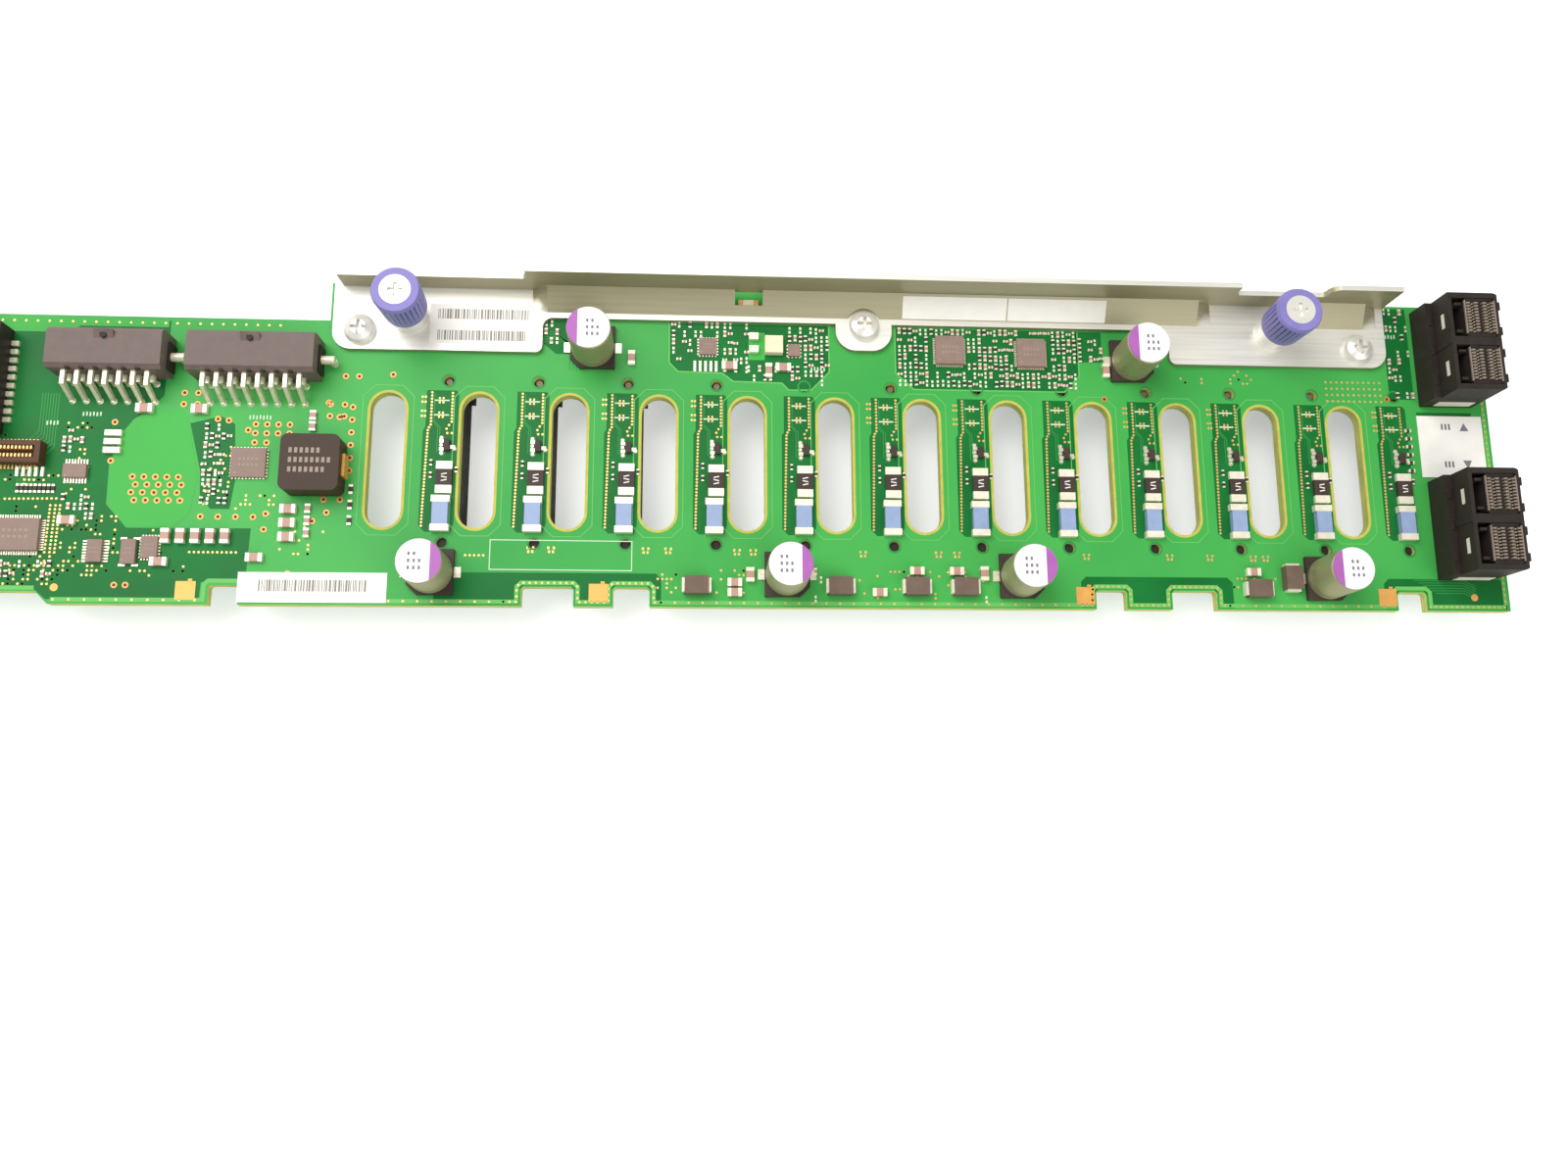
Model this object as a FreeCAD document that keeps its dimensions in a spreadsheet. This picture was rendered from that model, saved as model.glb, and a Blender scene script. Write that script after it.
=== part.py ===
import FreeCAD, Part
import math
import os
import Sketcher
from FreeCAD import Vector

# Drive backplane board, millimetres, +Z up. The board lies flat: its component side faces up and
# it stands on the mouths of its drive receptacles. X runs along the board, +Y to the bracket edge.
# The origin is the middle of the box that the part fills, at its lowest plane.

os.makedirs("parts", exist_ok=True)
doc = FreeCAD.newDocument("drive_backplane")

SIZES = (
    # board
    ("board_length", 362.0, "board, end to end"),
    ("board_width", 76.0, "board, front edge to bracket edge"),
    ("board_thick", 2.4, "laminate thickness"),
    ("seat_height", 10.0, "underside of the board above the receptacle mouths"),
    ("step_x", -95.3, "where the back edge steps in"),
    ("step_depth", 9.3, "how far the back edge steps in"),
    ("recess_end", -151.6, "right end of the shallow recess in the front edge"),
    ("recess_depth", 2.7, "depth of that recess"),
    ("notch_depth", 4.35, "depth of the notches in the front edge"),
    ("notch_corner", 0.8, "corner radius of the notches"),
    # drive bays
    ("bay_count", 12, "number of drive bays"),
    ("bay_pitch", 20.5, "bay to bay"),
    ("first_bay_x", -67.8, "column of the first receptacle"),
    ("receptacle_y", -4.5, "middle of each receptacle"),
    ("peg_spacing", 38.2, "locating holes, middle to middle"),
    ("peg_hole_dia", 2.4, "locating hole"),
    ("peg_gap", 0.1, "radial gap of a peg in its hole"),
    ("slot_offset", 13.3, "airflow slot to the left of its receptacle"),
    ("slot_y", -4.4, "middle of the airflow slots"),
    ("slot_length", 31.8, "airflow slot, end to end"),
    ("slot_width", 7.9, "airflow slot width"),
    # sheet-metal bracket
    ("sheet", 1.2, "sheet thickness"),
    ("bracket_left", -94.4, "left end of the foot"),
    ("bracket_right", 156.3, "right end of the foot"),
    ("wall_inset", 1.9, "wall starts this far in from the left end"),
    ("tab_depth", 16.5, "end tabs, from the wall's outer face"),
    ("band_depth", 8.0, "narrow foot band, from the wall's outer face"),
    ("left_tab_end", -46.7, "right end of the left tab"),
    ("right_tab_start", 102.2, "left end of the right tab"),
    ("ear_depth", 14.6, "ear, from the wall's outer face"),
    ("ear_width", 13.3, "width of the ear"),
    ("ear_corner", 4.8, "corner radius of the ear"),
    ("tab_corner", 4.2, "outer corner radius of the tabs"),
    ("tab_small_corner", 1.7, "inner corner radius of the tabs"),
    ("tab_fillet", 2.3, "fillet between left tab and band"),
    ("wall_low", 7.2, "low part of the wall, above the board"),
    ("wall_high", 11.3, "high part of the wall, above the board"),
    ("rise_start", -49.9, "wall becomes high"),
    ("rise_end", 116.9, "wall becomes low again"),
    ("second_rise", 138.9, "wall becomes high for the second time"),
    ("second_round", 2.7, "rounded corner of the second rise"),
    ("step_round", 1.1, "inner radius of the steps in the wall"),
    ("slope_depth", 6.7, "formed slope, from the wall's outer face"),
    ("slope_rise", 4.0, "crease of the slope, above the board"),
    ("slope_start", -49.2, "long slope, left end"),
    ("slope_end", 112.9, "long slope, right end"),
    ("short_slope_start", 134.6, "short slope, left end"),
    ("short_slope_end", 154.4, "short slope, right end"),
    ("slope_blend", 3.6, "length over which a slope runs out"),
    ("window_x", 1.15, "middle of the window in the slope"),
    ("window_length", 6.5, "window length"),
    ("window_depth", 4.4, "window, from the wall's outer face"),
    # bracket screws
    ("screw_inset", 12.0, "row of the two outer screws, from the wall's outer face"),
    ("left_screw_x", -88.1, "left screw"),
    ("right_screw_x", 148.9, "right screw"),
    ("ear_screw_x", 28.4, "middle of the ear and of its screw"),
    ("ear_screw_inset", 8.7, "ear screw, from the wall's outer face"),
    ("screw_dia", 3.0, "screw shank"),
    ("screw_head_dia", 7.2, "pan head"),
    ("screw_head_high", 2.4, "pan head height"),
    ("screw_head_land", 3.4, "flat middle of the pan head"),
    ("screw_gap", 0.15, "radial gap of a screw in a clearance hole"),
    ("head_clear", 0.6, "gap between a head and the relief round it"),
    ("nut_flats", 5.5, "nut across flats"),
    ("nut_high", 2.0, "nut height"),
    ("thread_gap", 0.05, "radial gap that stands for a thread"),
    # captive thumbscrews
    ("left_thumb_x", -77.0, "left thumbscrew"),
    ("right_thumb_x", 127.9, "right thumbscrew"),
    ("thumb_inset", 8.5, "row of the thumbscrews, from the wall's outer face"),
    ("knob_top_dia", 10.9, "knob at its top"),
    ("knob_low_dia", 10.1, "knob at its foot"),
    ("knob_length", 9.7, "knob length"),
    ("knob_lift", 5.2, "raised knob, above the foot's top face"),
    ("knob_wall_top", 2.6, "web of the knob above its bore"),
    ("knob_rib_count", 30, "grip grooves round the knob"),
    ("knob_rib_depth", 0.35, "depth of a grip groove"),
    ("ferrule_dia", 7.2, "ferrule sleeve"),
    ("ferrule_flange_dia", 8.6, "ferrule flange"),
    ("ferrule_flange", 0.8, "ferrule flange thickness"),
    ("ferrule_high", 6.6, "ferrule above the foot's top face"),
    ("ferrule_wall", 0.8, "ferrule wall"),
    ("ferrule_lip", 1.2, "floor of the ferrule"),
    ("ferrule_gap", 0.35, "radial gap of the knob round the ferrule"),
    ("pin_dia", 3.0, "shank of the captive screw"),
    ("pin_gap", 0.08, "radial gap of the shank in the ferrule"),
    ("thread_dia", 4.0, "thread at the tip"),
    ("thread_length", 2.6, "length of that thread"),
    ("captive_gap", 0.2, "thread below the ferrule's floor at rest"),
    ("disc_dia", 6.9, "metal head disc in the knob"),
    ("disc_thick", 1.2, "head disc thickness"),
    ("disc_stand", 0.1, "head disc proud of the knob"),
    ("coil_wire", 0.6, "spring wire, corner to corner of its six sides"),
    ("coil_turns", 5, "spring turns"),
    ("coil_gap", 0.25, "radial gap of the spring in the ferrule"),
    ("washer_thick", 0.5, "thrust washer on the spring"),
    # polymer capacitors
    ("cap_dia", 10.0, "can diameter"),
    ("cap_high", 12.7, "can and base, above the board"),
    ("cap_base", 10.3, "square base"),
    ("cap_base_high", 1.2, "base thickness"),
    ("cap_base_cut", 2.2, "cut corners of the base"),
    ("cap_edge", 0.5, "rolled edge of the can"),
    ("cap_groove_high", 1.3, "crimp groove above the base"),
    ("cap_groove", 0.35, "crimp groove depth"),
    ("cap_lead_width", 2.4, "solder lead width"),
    ("cap_lead_reach", 1.5, "solder lead beyond the base"),
    ("cap_lead_thick", 0.4, "solder lead thickness"),
    # power headers
    ("header_pitch", 3.0, "pin pitch"),
    ("header_a_pins", 7, "columns of the left header"),
    ("header_b_pins", 8, "columns of the right header"),
    ("header_a_x", -141.7, "middle of the left header"),
    ("header_b_x", -110.2, "middle of the right header"),
    ("header_ends", 3.8, "housing length beyond its columns"),
    ("header_inset", 15.0, "back faces of the housings, from the stepped edge"),
    ("header_depth", 9.4, "housing depth"),
    ("header_high", 7.4, "housing height"),
    ("header_wall", 0.9, "housing wall"),
    ("header_floor", 2.2, "housing back wall"),
    ("header_pin", 0.9, "pin thickness"),
    ("tail_hole_dia", 1.45, "hole for a pin tail"),
    ("header_row_low", 2.1, "low pin row above the board"),
    ("header_row_high", 5.1, "high pin row above the board"),
    ("header_low_tail", 1.2, "low row's tails behind the housing"),
    ("header_knee", 2.9, "high row's knees behind the housing"),
    ("header_tail", 5.4, "high row's tails behind the housing"),
    ("header_lock_dia", 2.0, "board lock peg at the side of a header"),
    ("header_lock_long", 3.4, "how far the peg stands out"),
    # data connectors
    ("port_inset", 17.1, "left face of the data connectors, from the board's right end"),
    ("port_long", 24.0, "housing length"),
    ("port_front_gap", 7.3, "front data connector, from the front edge"),
    ("port_back_gap", 1.8, "rear data connector, from the back edge"),
    ("port_base_wide", 14.4, "base width"),
    ("port_base_high", 6.5, "base height"),
    ("port_ledge", 1.7, "ledge on the base"),
    ("port_high", 12.9, "housing height"),
    ("port_shell_wide", 12.2, "upper shell width"),
    ("port_wall", 0.9, "shell wall"),
    ("port_pitch", 11.7, "port to port"),
    ("port_mouth_long", 9.6, "mouth of a port, along the board's width"),
    ("port_mouth_deep", 6.0, "depth of a port"),
    ("core_wide", 7.4, "contact block width"),
    ("core_long", 8.4, "contact block length"),
    ("core_drop", 0.3, "contact block below the shell's rim"),
    ("core_slot", 1.3, "card slot width"),
    ("core_slot_gap", 4.0, "card slot to card slot"),
    ("latch_long", 4.0, "latch window length"),
    ("latch_high", 1.7, "latch window height"),
    # drive receptacles on the underside
    ("recept_long", 43.6, "receptacle length"),
    ("recept_wide", 6.2, "receptacle width"),
    ("recept_end", 4.4, "guide tower length"),
    ("recept_end_wide", 8.2, "guide tower width"),
    ("blade_width", 2.6, "blade slot width"),
    ("blade_depth", 5.6, "blade slot depth"),
    ("signal_long", 11.2, "signal part of the slot"),
    ("power_long", 19.6, "power part of the slot"),
    ("blade_key", 2.2, "key wall between the two"),
    ("peg_short", 0.9, "peg top below the board's top face"),
    ("lock_dia", 1.5, "metal board lock in the back locating hole"),
    ("lock_drop", 1.0, "board lock top below the board's top face"),
    # bay parts
    ("shunt_long", 7.4, "sense resistor length"),
    ("shunt_wide", 3.6, "sense resistor width"),
    ("shunt_end", 1.8, "solder end of a sense resistor"),
    ("shunt_high", 0.9, "sense resistor height"),
    ("shunt_y", -8.6, "row of the sense resistors"),
    ("film_long", 8.2, "bay capacitor length"),
    ("film_wide", 3.5, "bay capacitor width"),
    ("film_end", 1.5, "solder end of a bay capacitor"),
    ("film_end_wide", 4.1, "width of that end"),
    ("film_high", 1.6, "bay capacitor height"),
    ("film_y", -17.1, "row of the bay capacitors"),
    ("film_x", -0.4, "bay capacitor beside its receptacle column"),
    ("fet_y", -1.8, "row of the bay switches"),
    ("fet_wide", 3.2, "bay switch, along the board"),
    ("fet_deep", 2.2, "bay switch, across the board"),
    # other parts
    ("coil_x", -96.2, "power inductor"),
    ("coil_y", -6.8, "power inductor"),
    ("coil_side", 12.9, "power inductor, square side"),
    ("coil_high", 5.6, "power inductor height"),
    ("coil_corner", 1.6, "power inductor corner radius"),
    ("bead_long", 6.6, "small inductor length"),
    ("bead_wide", 4.0, "small inductor width"),
    ("bead_high", 2.6, "small inductor height"),
    ("bead_end", 0.6, "solder end of a small inductor"),
    ("bead_inset", 4.8, "row of the small inductors, from the front edge"),
    ("quad_side", 6.8, "controller body"),
    ("quad_high", 1.3, "controller height"),
    ("stack_inset", 16.1, "right face of the signal header, from the board's left end"),
    ("stack_back", 16.3, "middle of the signal header, from the stepped edge"),
    ("stack_wide", 9.0, "signal header width"),
    ("stack_high", 5.6, "signal header height"),
    ("stack_pitch", 2.0, "signal header lead pitch"),
    ("stack_leads", 10, "signal header leads on a side"),
    ("mezz_inset", 17.2, "middle of the mezzanine connector, from the board's left end"),
    ("mezz_y", -4.4, "middle of the mezzanine connector"),
    ("mezz_long", 17.4, "mezzanine connector length"),
    ("mezz_wide", 5.0, "mezzanine connector width"),
    ("mezz_high", 2.8, "mezzanine connector height"),
    ("paper", 0.15, "label thickness"),
)


class Size:
    """A length that carries its number and the sheet formula it comes from."""

    def __init__(self, value, text):
        self.value = float(value)
        self.text = text

    @staticmethod
    def of(other):
        """Wrap a plain number so that it can stand in a formula."""
        return other if isinstance(other, Size) else Size(other, repr(float(other)))

    def __add__(self, other):
        other = Size.of(other)
        return Size(self.value + other.value, "(%s + %s)" % (self.text, other.text))

    def __radd__(self, other):
        return Size.of(other) + self

    def __sub__(self, other):
        other = Size.of(other)
        return Size(self.value - other.value, "(%s - %s)" % (self.text, other.text))

    def __rsub__(self, other):
        return Size.of(other) - self

    def __mul__(self, other):
        other = Size.of(other)
        return Size(self.value * other.value, "(%s * %s)" % (self.text, other.text))

    def __rmul__(self, other):
        return Size.of(other) * self

    def __truediv__(self, other):
        other = Size.of(other)
        return Size(self.value / other.value, "(%s / %s)" % (self.text, other.text))

    def __neg__(self):
        return Size.of(0) - self


class Named:
    """Holds every size of the sheet under its own name."""


sheet = doc.addObject("Spreadsheet::Sheet", "Sizes")
S = Named()
for row, (name, value, meaning) in enumerate(SIZES, start=1):
    sheet.set("A%d" % row, name)
    sheet.set("B%d" % row, str(value))
    sheet.set("C%d" % row, meaning)
    sheet.setAlias("B%d" % row, name)
    setattr(S, name, Size(value, "Sizes." + name))
doc.recompute()


# ---------------------------------------------------------------- helpers

def settle():
    """Recompute until every bound size has reached every feature."""
    for _ in range(3):
        doc.recompute()
        if not any("Touched" in obj.State for obj in doc.Objects):
            break


def bind(obj, prop, size):
    """Bind one property to the sheet."""
    obj.setExpression(prop, Size.of(size).text)


def place(obj, x, y, z):
    """Bind the three coordinates of an object's placement."""
    obj.Placement = FreeCAD.Placement(
        Vector(Size.of(x).value, Size.of(y).value, Size.of(z).value), FreeCAD.Rotation())
    bind(obj, "Placement.Base.x", x)
    bind(obj, "Placement.Base.y", y)
    bind(obj, "Placement.Base.z", z)
    return obj


def block(name, mid_x, mid_y, low_z, long_x, long_y, high):
    """A box given by its middle in plan, its lowest plane and its three sizes."""
    box = doc.addObject("Part::Box", name)
    bind(box, "Length", long_x)
    bind(box, "Width", long_y)
    bind(box, "Height", high)
    return place(box, mid_x - Size.of(long_x) / 2, mid_y - Size.of(long_y) / 2, low_z)


def rod(name, mid_x, mid_y, low_z, dia, high):
    """An upright cylinder."""
    cylinder = doc.addObject("Part::Cylinder", name)
    bind(cylinder, "Radius", Size.of(dia) / 2)
    bind(cylinder, "Height", high)
    return place(cylinder, mid_x, mid_y, low_z)


def cone(name, mid_x, mid_y, low_z, low_dia, top_dia, high):
    """An upright cone frustum."""
    frustum = doc.addObject("Part::Cone", name)
    bind(frustum, "Radius1", Size.of(low_dia) / 2)
    bind(frustum, "Radius2", Size.of(top_dia) / 2)
    bind(frustum, "Height", high)
    return place(frustum, mid_x, mid_y, low_z)


def join(name, pieces):
    """One solid made of touching pieces."""
    fused = doc.addObject("Part::MultiFuse", name)
    fused.Shapes = pieces
    fused.Refine = True
    return fused


def cut(name, base, tool):
    """Base without tool."""
    result = doc.addObject("Part::Cut", name)
    result.Base = base
    result.Tool = tool
    result.Refine = True
    return result


def group(name, pieces):
    """Separate solids kept together in one sub-part."""
    bundle = doc.addObject("Part::Compound", name)
    bundle.Links = pieces
    return bundle


def new_body(name, several=False):
    """A PartDesign body, which may hold a pattern of separate solids."""
    body = doc.addObject("PartDesign::Body", name)
    if several:
        body.AllowCompound = True
    return body


def new_sketch(body, name, role, offset=0):
    """A sketch on one of the body's own origin planes, moved along the plane's normal."""
    drawing = body.newObject("Sketcher::SketchObject", name)
    base = next(f for f in body.Origin.OriginFeatures if f.Role == role)
    drawing.AttachmentSupport = [(base, "")]
    drawing.MapMode = "FlatFace"
    bind(drawing, "AttachmentOffset.Base.z", offset)
    return drawing


def tie(drawing, kind, geometry, point, size):
    """Tie one point of a sketch to the origin by a bound distance."""
    size = Size.of(size)
    index = drawing.addConstraint(Sketcher.Constraint(kind, -1, 1, geometry, point, size.value))
    drawing.setExpression("Constraints[%d]" % index, size.text)


def outline(drawing, corners):
    """A closed outline of straight sides whose corners are bound to the sheet."""
    first = drawing.GeometryCount
    count = len(corners)
    points = [Vector(Size.of(u).value, Size.of(v).value, 0) for u, v in corners]
    for i in range(count):
        drawing.addGeometry(Part.LineSegment(points[i], points[(i + 1) % count]))
    for i in range(count):
        drawing.addConstraint(
            Sketcher.Constraint("Coincident", first + i, 2, first + (i + 1) % count, 1))
    for i, (u, v) in enumerate(corners):
        tie(drawing, "DistanceX", first + i, 1, u)
        tie(drawing, "DistanceY", first + i, 1, v)


def rectangle(drawing, u_low, v_low, u_high, v_high):
    """An upright rectangle between two bound corners."""
    outline(drawing, [(u_low, v_low), (u_high, v_low), (u_high, v_high), (u_low, v_high)])


def ring(drawing, u, v, dia):
    """A bound circle."""
    u, v, radius = Size.of(u), Size.of(v), Size.of(dia) / 2
    index = drawing.addGeometry(
        Part.Circle(Vector(u.value, v.value, 0), Vector(0, 0, 1), radius.value))
    tie(drawing, "DistanceX", index, 3, u)
    tie(drawing, "DistanceY", index, 3, v)
    number = drawing.addConstraint(Sketcher.Constraint("Radius", index, radius.value))
    drawing.setExpression("Constraints[%d]" % number, radius.text)


def pad(body, name, drawing, length, backwards=False):
    """Grow a sketch into the body."""
    feature = body.newObject("PartDesign::Pad", name)
    feature.Profile = drawing
    feature.Reversed = backwards
    bind(feature, "Length", length)
    return feature


def pocket(body, name, drawing, length, backwards=False):
    """Cut a sketch out of the body."""
    feature = body.newObject("PartDesign::Pocket", name)
    feature.Profile = drawing
    feature.Reversed = backwards
    bind(feature, "Length", length)
    return feature


def repeat(body, name, features, drawing, axis, span, count):
    """Repeat features along an axis of a sketch and make the pattern the body's tip."""
    pattern = body.newObject("PartDesign::LinearPattern", name)
    pattern.Originals = features
    pattern.Direction = (drawing, [axis])
    bind(pattern, "Length", span)
    bind(pattern, "Occurrences", count)
    body.Tip = pattern
    return pattern


def edges_at(shape, places, reach=0.06):
    """Names of the edges whose middle lies near one of the places (None matches anything)."""
    names = []
    for number, edge in enumerate(shape.Edges, start=1):
        middle = edge.valueAt((edge.FirstParameter + edge.LastParameter) / 2)
        for spot in places:
            if all(s is None or abs(Size.of(s).value - m) < reach
                   for s, m in zip(spot, middle)):
                names.append("Edge%d" % number)
                break
    return names


def round_edges(body, name, places, radius):
    """Fillet the edges of the body's tip that lie at the given places."""
    settle()
    base = body.Tip
    feature = body.newObject("PartDesign::Fillet", name)
    feature.Base = (base, edges_at(base.Shape, places))
    bind(feature, "Radius", radius)
    return feature


nodes = []


def keep(obj, label):
    """Name a finished sub-part; its label is the name of its file."""
    obj.Label = label
    nodes.append(obj)
    return obj


# ---------------------------------------------------------------- shared places

half_long = S.board_length / 2
half_wide = S.board_width / 2
top = S.seat_height + S.board_thick
foot_top = top + S.sheet
wall_out = half_wide
wall_in = half_wide - S.sheet
last_bay = S.bay_pitch * (S.bay_count - 1)
back_peg_y = S.receptacle_y + S.peg_spacing / 2
front_peg_y = S.receptacle_y - S.peg_spacing / 2
screw_row = wall_out - S.screw_inset
ear_row = wall_out - S.ear_screw_inset
thumb_row = wall_out - S.thumb_inset
port_x = half_long - S.port_inset
stepped_edge = half_wide - S.step_depth
header_back = stepped_edge - S.header_inset
stack_x = S.stack_inset - half_long
stack_y = stepped_edge - S.stack_back
mezz_x = S.mezz_inset - half_long
bead_y = S.bead_inset - half_wide
notches = ((-117.8, -111.3), (-49.8, -38.2), (-29.4, -21.2), (81.4, 88.6), (99.4, 110.0),
           (153.6, 160.6))
capacitor_places = ((-35.1, half_wide - 14.9), (93.0, half_wide - 15.8),
                    (-69.8, 7.5 - half_wide), (9.9, 7.5 - half_wide), (64.0, 7.5 - half_wide),
                    (136.6, 7.4 - half_wide))
bracket_screws = ((S.left_screw_x, screw_row), (S.ear_screw_x, ear_row),
                  (S.right_screw_x, screw_row))
thumbs = (("left", S.left_thumb_x), ("right", S.right_thumb_x))
headers = ((S.header_a_x, int(S.header_a_pins.value)), (S.header_b_x, int(S.header_b_pins.value)))


# ---------------------------------------------------------------- board

board = new_body("Board")
plan = new_sketch(board, "BoardPlan", "XY_Plane", S.seat_height)
corners = [(-half_long, -half_wide + S.recess_depth),
           (S.recess_end - S.recess_depth, -half_wide + S.recess_depth),
           (S.recess_end, -half_wide)]
for left, right in notches:
    corners += [(left, -half_wide), (left, -half_wide + S.notch_depth),
                (right, -half_wide + S.notch_depth), (right, -half_wide)]
corners += [(half_long, -half_wide), (half_long, half_wide), (S.step_x, half_wide),
            (S.step_x, half_wide - S.step_depth), (-half_long, half_wide - S.step_depth)]
outline(plan, corners)
pad(board, "BoardPad", plan, S.board_thick)
slot_plan = new_sketch(board, "SlotPlan", "XY_Plane", top)
slot_x = S.first_bay_x - S.slot_offset
slot_run = (S.slot_length - S.slot_width) / 2
slot_r = S.slot_width / 2
ends = []
for sign in (1, -1):
    mid = S.slot_y + slot_run * sign
    arc = slot_plan.addGeometry(Part.ArcOfCircle(
        Part.Circle(Vector(slot_x.value, mid.value, 0), Vector(0, 0, 1), slot_r.value),
        0 if sign > 0 else math.pi, math.pi if sign > 0 else 2 * math.pi))
    tie(slot_plan, "DistanceX", arc, 3, slot_x)
    tie(slot_plan, "DistanceY", arc, 3, mid)
    tie(slot_plan, "DistanceX", arc, 1, slot_x + slot_r * sign)
    tie(slot_plan, "DistanceY", arc, 1, mid)
    tie(slot_plan, "DistanceY", arc, 2, mid)
    ends.append(arc)
for here, there in (((ends[0], 2), (ends[1], 1)), ((ends[1], 2), (ends[0], 1))):
    start = slot_plan.getPoint(*here)
    finish = slot_plan.getPoint(*there)
    side = slot_plan.addGeometry(Part.LineSegment(start, finish))
    slot_plan.addConstraint(Sketcher.Constraint("Coincident", here[0], here[1], side, 1))
    slot_plan.addConstraint(Sketcher.Constraint("Coincident", side, 2, there[0], there[1]))
slot_cut = pocket(board, "SlotPocket", slot_plan, S.board_thick)
peg_plan = new_sketch(board, "PegPlan", "XY_Plane", top)
for peg_y in (back_peg_y, front_peg_y):
    ring(peg_plan, S.first_bay_x, peg_y, S.peg_hole_dia)
peg_cut = pocket(board, "PegPocket", peg_plan, S.board_thick)
settle()
repeat(board, "BaySlots", [slot_cut], slot_plan, "H_Axis", last_bay, S.bay_count)
repeat(board, "BayPegs", [peg_cut], peg_plan, "H_Axis", last_bay, S.bay_count)
hole_plan = new_sketch(board, "HolePlan", "XY_Plane", top)
for x, y in bracket_screws:
    ring(hole_plan, x, y, S.screw_dia + S.screw_gap * 2)
for side_name, x in thumbs:
    ring(hole_plan, x, thumb_row, S.ferrule_dia)
ring(hole_plan, half_long - 7.7, -half_wide + 3.2, 2.4)
pocket(board, "HolePocket", hole_plan, S.board_thick)
tail_plan = new_sketch(board, "TailPlan", "XY_Plane", top)
for mid, columns in headers:
    for column in range(columns):
        for tail in (S.header_low_tail, S.header_tail):
            ring(tail_plan, mid + S.header_pitch * (column - (columns - 1) / 2),
                 header_back - tail, S.tail_hole_dia)
pocket(board, "TailPocket", tail_plan, S.board_thick)
notch_tops = [(x, -half_wide + S.notch_depth, None) for pair in notches for x in pair]
round_edges(board, "NotchRounds", notch_tops, S.notch_corner)
keep(board, "board")


# ---------------------------------------------------------------- bracket

def ell(z_rise):
    """Section of the plain sheet: flat foot, then the wall up to a height."""
    return [(wall_out - S.slope_depth, foot_top), (wall_in, foot_top), (wall_in, z_rise),
            (wall_out, z_rise), (wall_out, top), (wall_out - S.slope_depth, top)]


def ramp(z_rise):
    """Section of the formed slope between the same two edges."""
    rise = z_rise - foot_top
    run = S.slope_depth - S.sheet
    near = S.sheet / 4
    return [(wall_out - S.slope_depth, foot_top),
            (wall_in - near, z_rise - rise / run * near), (wall_in, z_rise), (wall_out, z_rise),
            (wall_out, z_rise - S.sheet * 0.7), (wall_out - S.slope_depth, top)]


bracket = new_body("Bracket")
foot = new_sketch(bracket, "FootPlan", "XY_Plane", top)
tab_y = wall_out - S.tab_depth
band_y = wall_out - S.band_depth
ear_y = wall_out - S.ear_depth
slope_y = wall_out - S.slope_depth
ear_low = S.ear_screw_x - S.ear_width / 2
ear_high = S.ear_screw_x + S.ear_width / 2
outline(foot, [
    (S.bracket_left, wall_out), (S.bracket_left, tab_y), (S.left_tab_end, tab_y),
    (S.left_tab_end, band_y), (ear_low, band_y), (ear_low, ear_y), (ear_high, ear_y),
    (ear_high, band_y), (S.right_tab_start, band_y), (S.right_tab_start, tab_y),
    (S.bracket_right, tab_y), (S.bracket_right, wall_out)])
pad(bracket, "FootPad", foot, S.sheet)
under = new_sketch(bracket, "UnderSlope", "XY_Plane", foot_top)
rectangle(under, S.slope_start, slope_y, S.slope_end, wall_out)
rectangle(under, S.short_slope_start, slope_y, S.short_slope_end, wall_out)
pocket(bracket, "UnderSlopeCut", under, S.sheet)
face = new_sketch(bracket, "WallFace", "XZ_Plane", -wall_out)
crease = top + S.slope_rise
low_z = top + S.wall_low
high_z = top + S.wall_high
wall_left = S.bracket_left + S.wall_inset
outline(face, [
    (wall_left, top), (S.slope_start, top), (S.slope_start, crease), (S.slope_end, crease),
    (S.slope_end, top), (S.short_slope_start, top), (S.short_slope_start, crease),
    (S.short_slope_end, crease), (S.short_slope_end, top), (S.bracket_right, top),
    (S.bracket_right, high_z), (S.second_rise, high_z), (S.second_rise, low_z),
    (S.rise_end, low_z), (S.rise_end, high_z), (S.rise_start, high_z), (S.rise_start, low_z),
    (wall_left, low_z)])
pad(bracket, "WallPad", face, S.sheet)
for name, start, finish in (("Long", S.slope_start, S.slope_end),
                            ("Short", S.short_slope_start, S.short_slope_end)):
    sections = []
    stations = (("A", start, ell), ("B", start + S.slope_blend, ramp),
                ("C", finish - S.slope_blend, ramp), ("D", finish, ell))
    for letter, x, section in stations:
        drawing = new_sketch(bracket, "Slope%s%s" % (name, letter), "YZ_Plane", x)
        outline(drawing, section(crease))
        sections.append(drawing)
    loft = bracket.newObject("PartDesign::AdditiveLoft", "Slope%s" % name)
    loft.Profile = sections[0]
    loft.Sections = sections[1:]
    loft.Ruled = True
window = new_sketch(bracket, "WindowPlan", "XY_Plane", high_z)
rectangle(window, S.window_x - S.window_length / 2, wall_out - S.window_depth,
          S.window_x + S.window_length / 2, wall_in)
pocket(bracket, "WindowCut", window, S.wall_high)
relief = new_sketch(bracket, "ReliefPlan", "XY_Plane", crease)
ring(relief, S.ear_screw_x, ear_row, S.screw_head_dia + S.head_clear * 2)
pocket(bracket, "ReliefCut", relief, S.slope_rise)
seat = new_sketch(bracket, "ReliefSeat", "XY_Plane", top)
ring(seat, S.ear_screw_x, ear_row, S.screw_head_dia + S.head_clear * 2)
pad(bracket, "ReliefFloor", seat, S.sheet)
holes = new_sketch(bracket, "FootHoles", "XY_Plane", foot_top)
for x, y in bracket_screws:
    ring(holes, x, y, S.screw_dia + S.screw_gap * 2)
for side_name, x in thumbs:
    ring(holes, x, thumb_row, S.thread_dia + S.ferrule_gap * 2)
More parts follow.
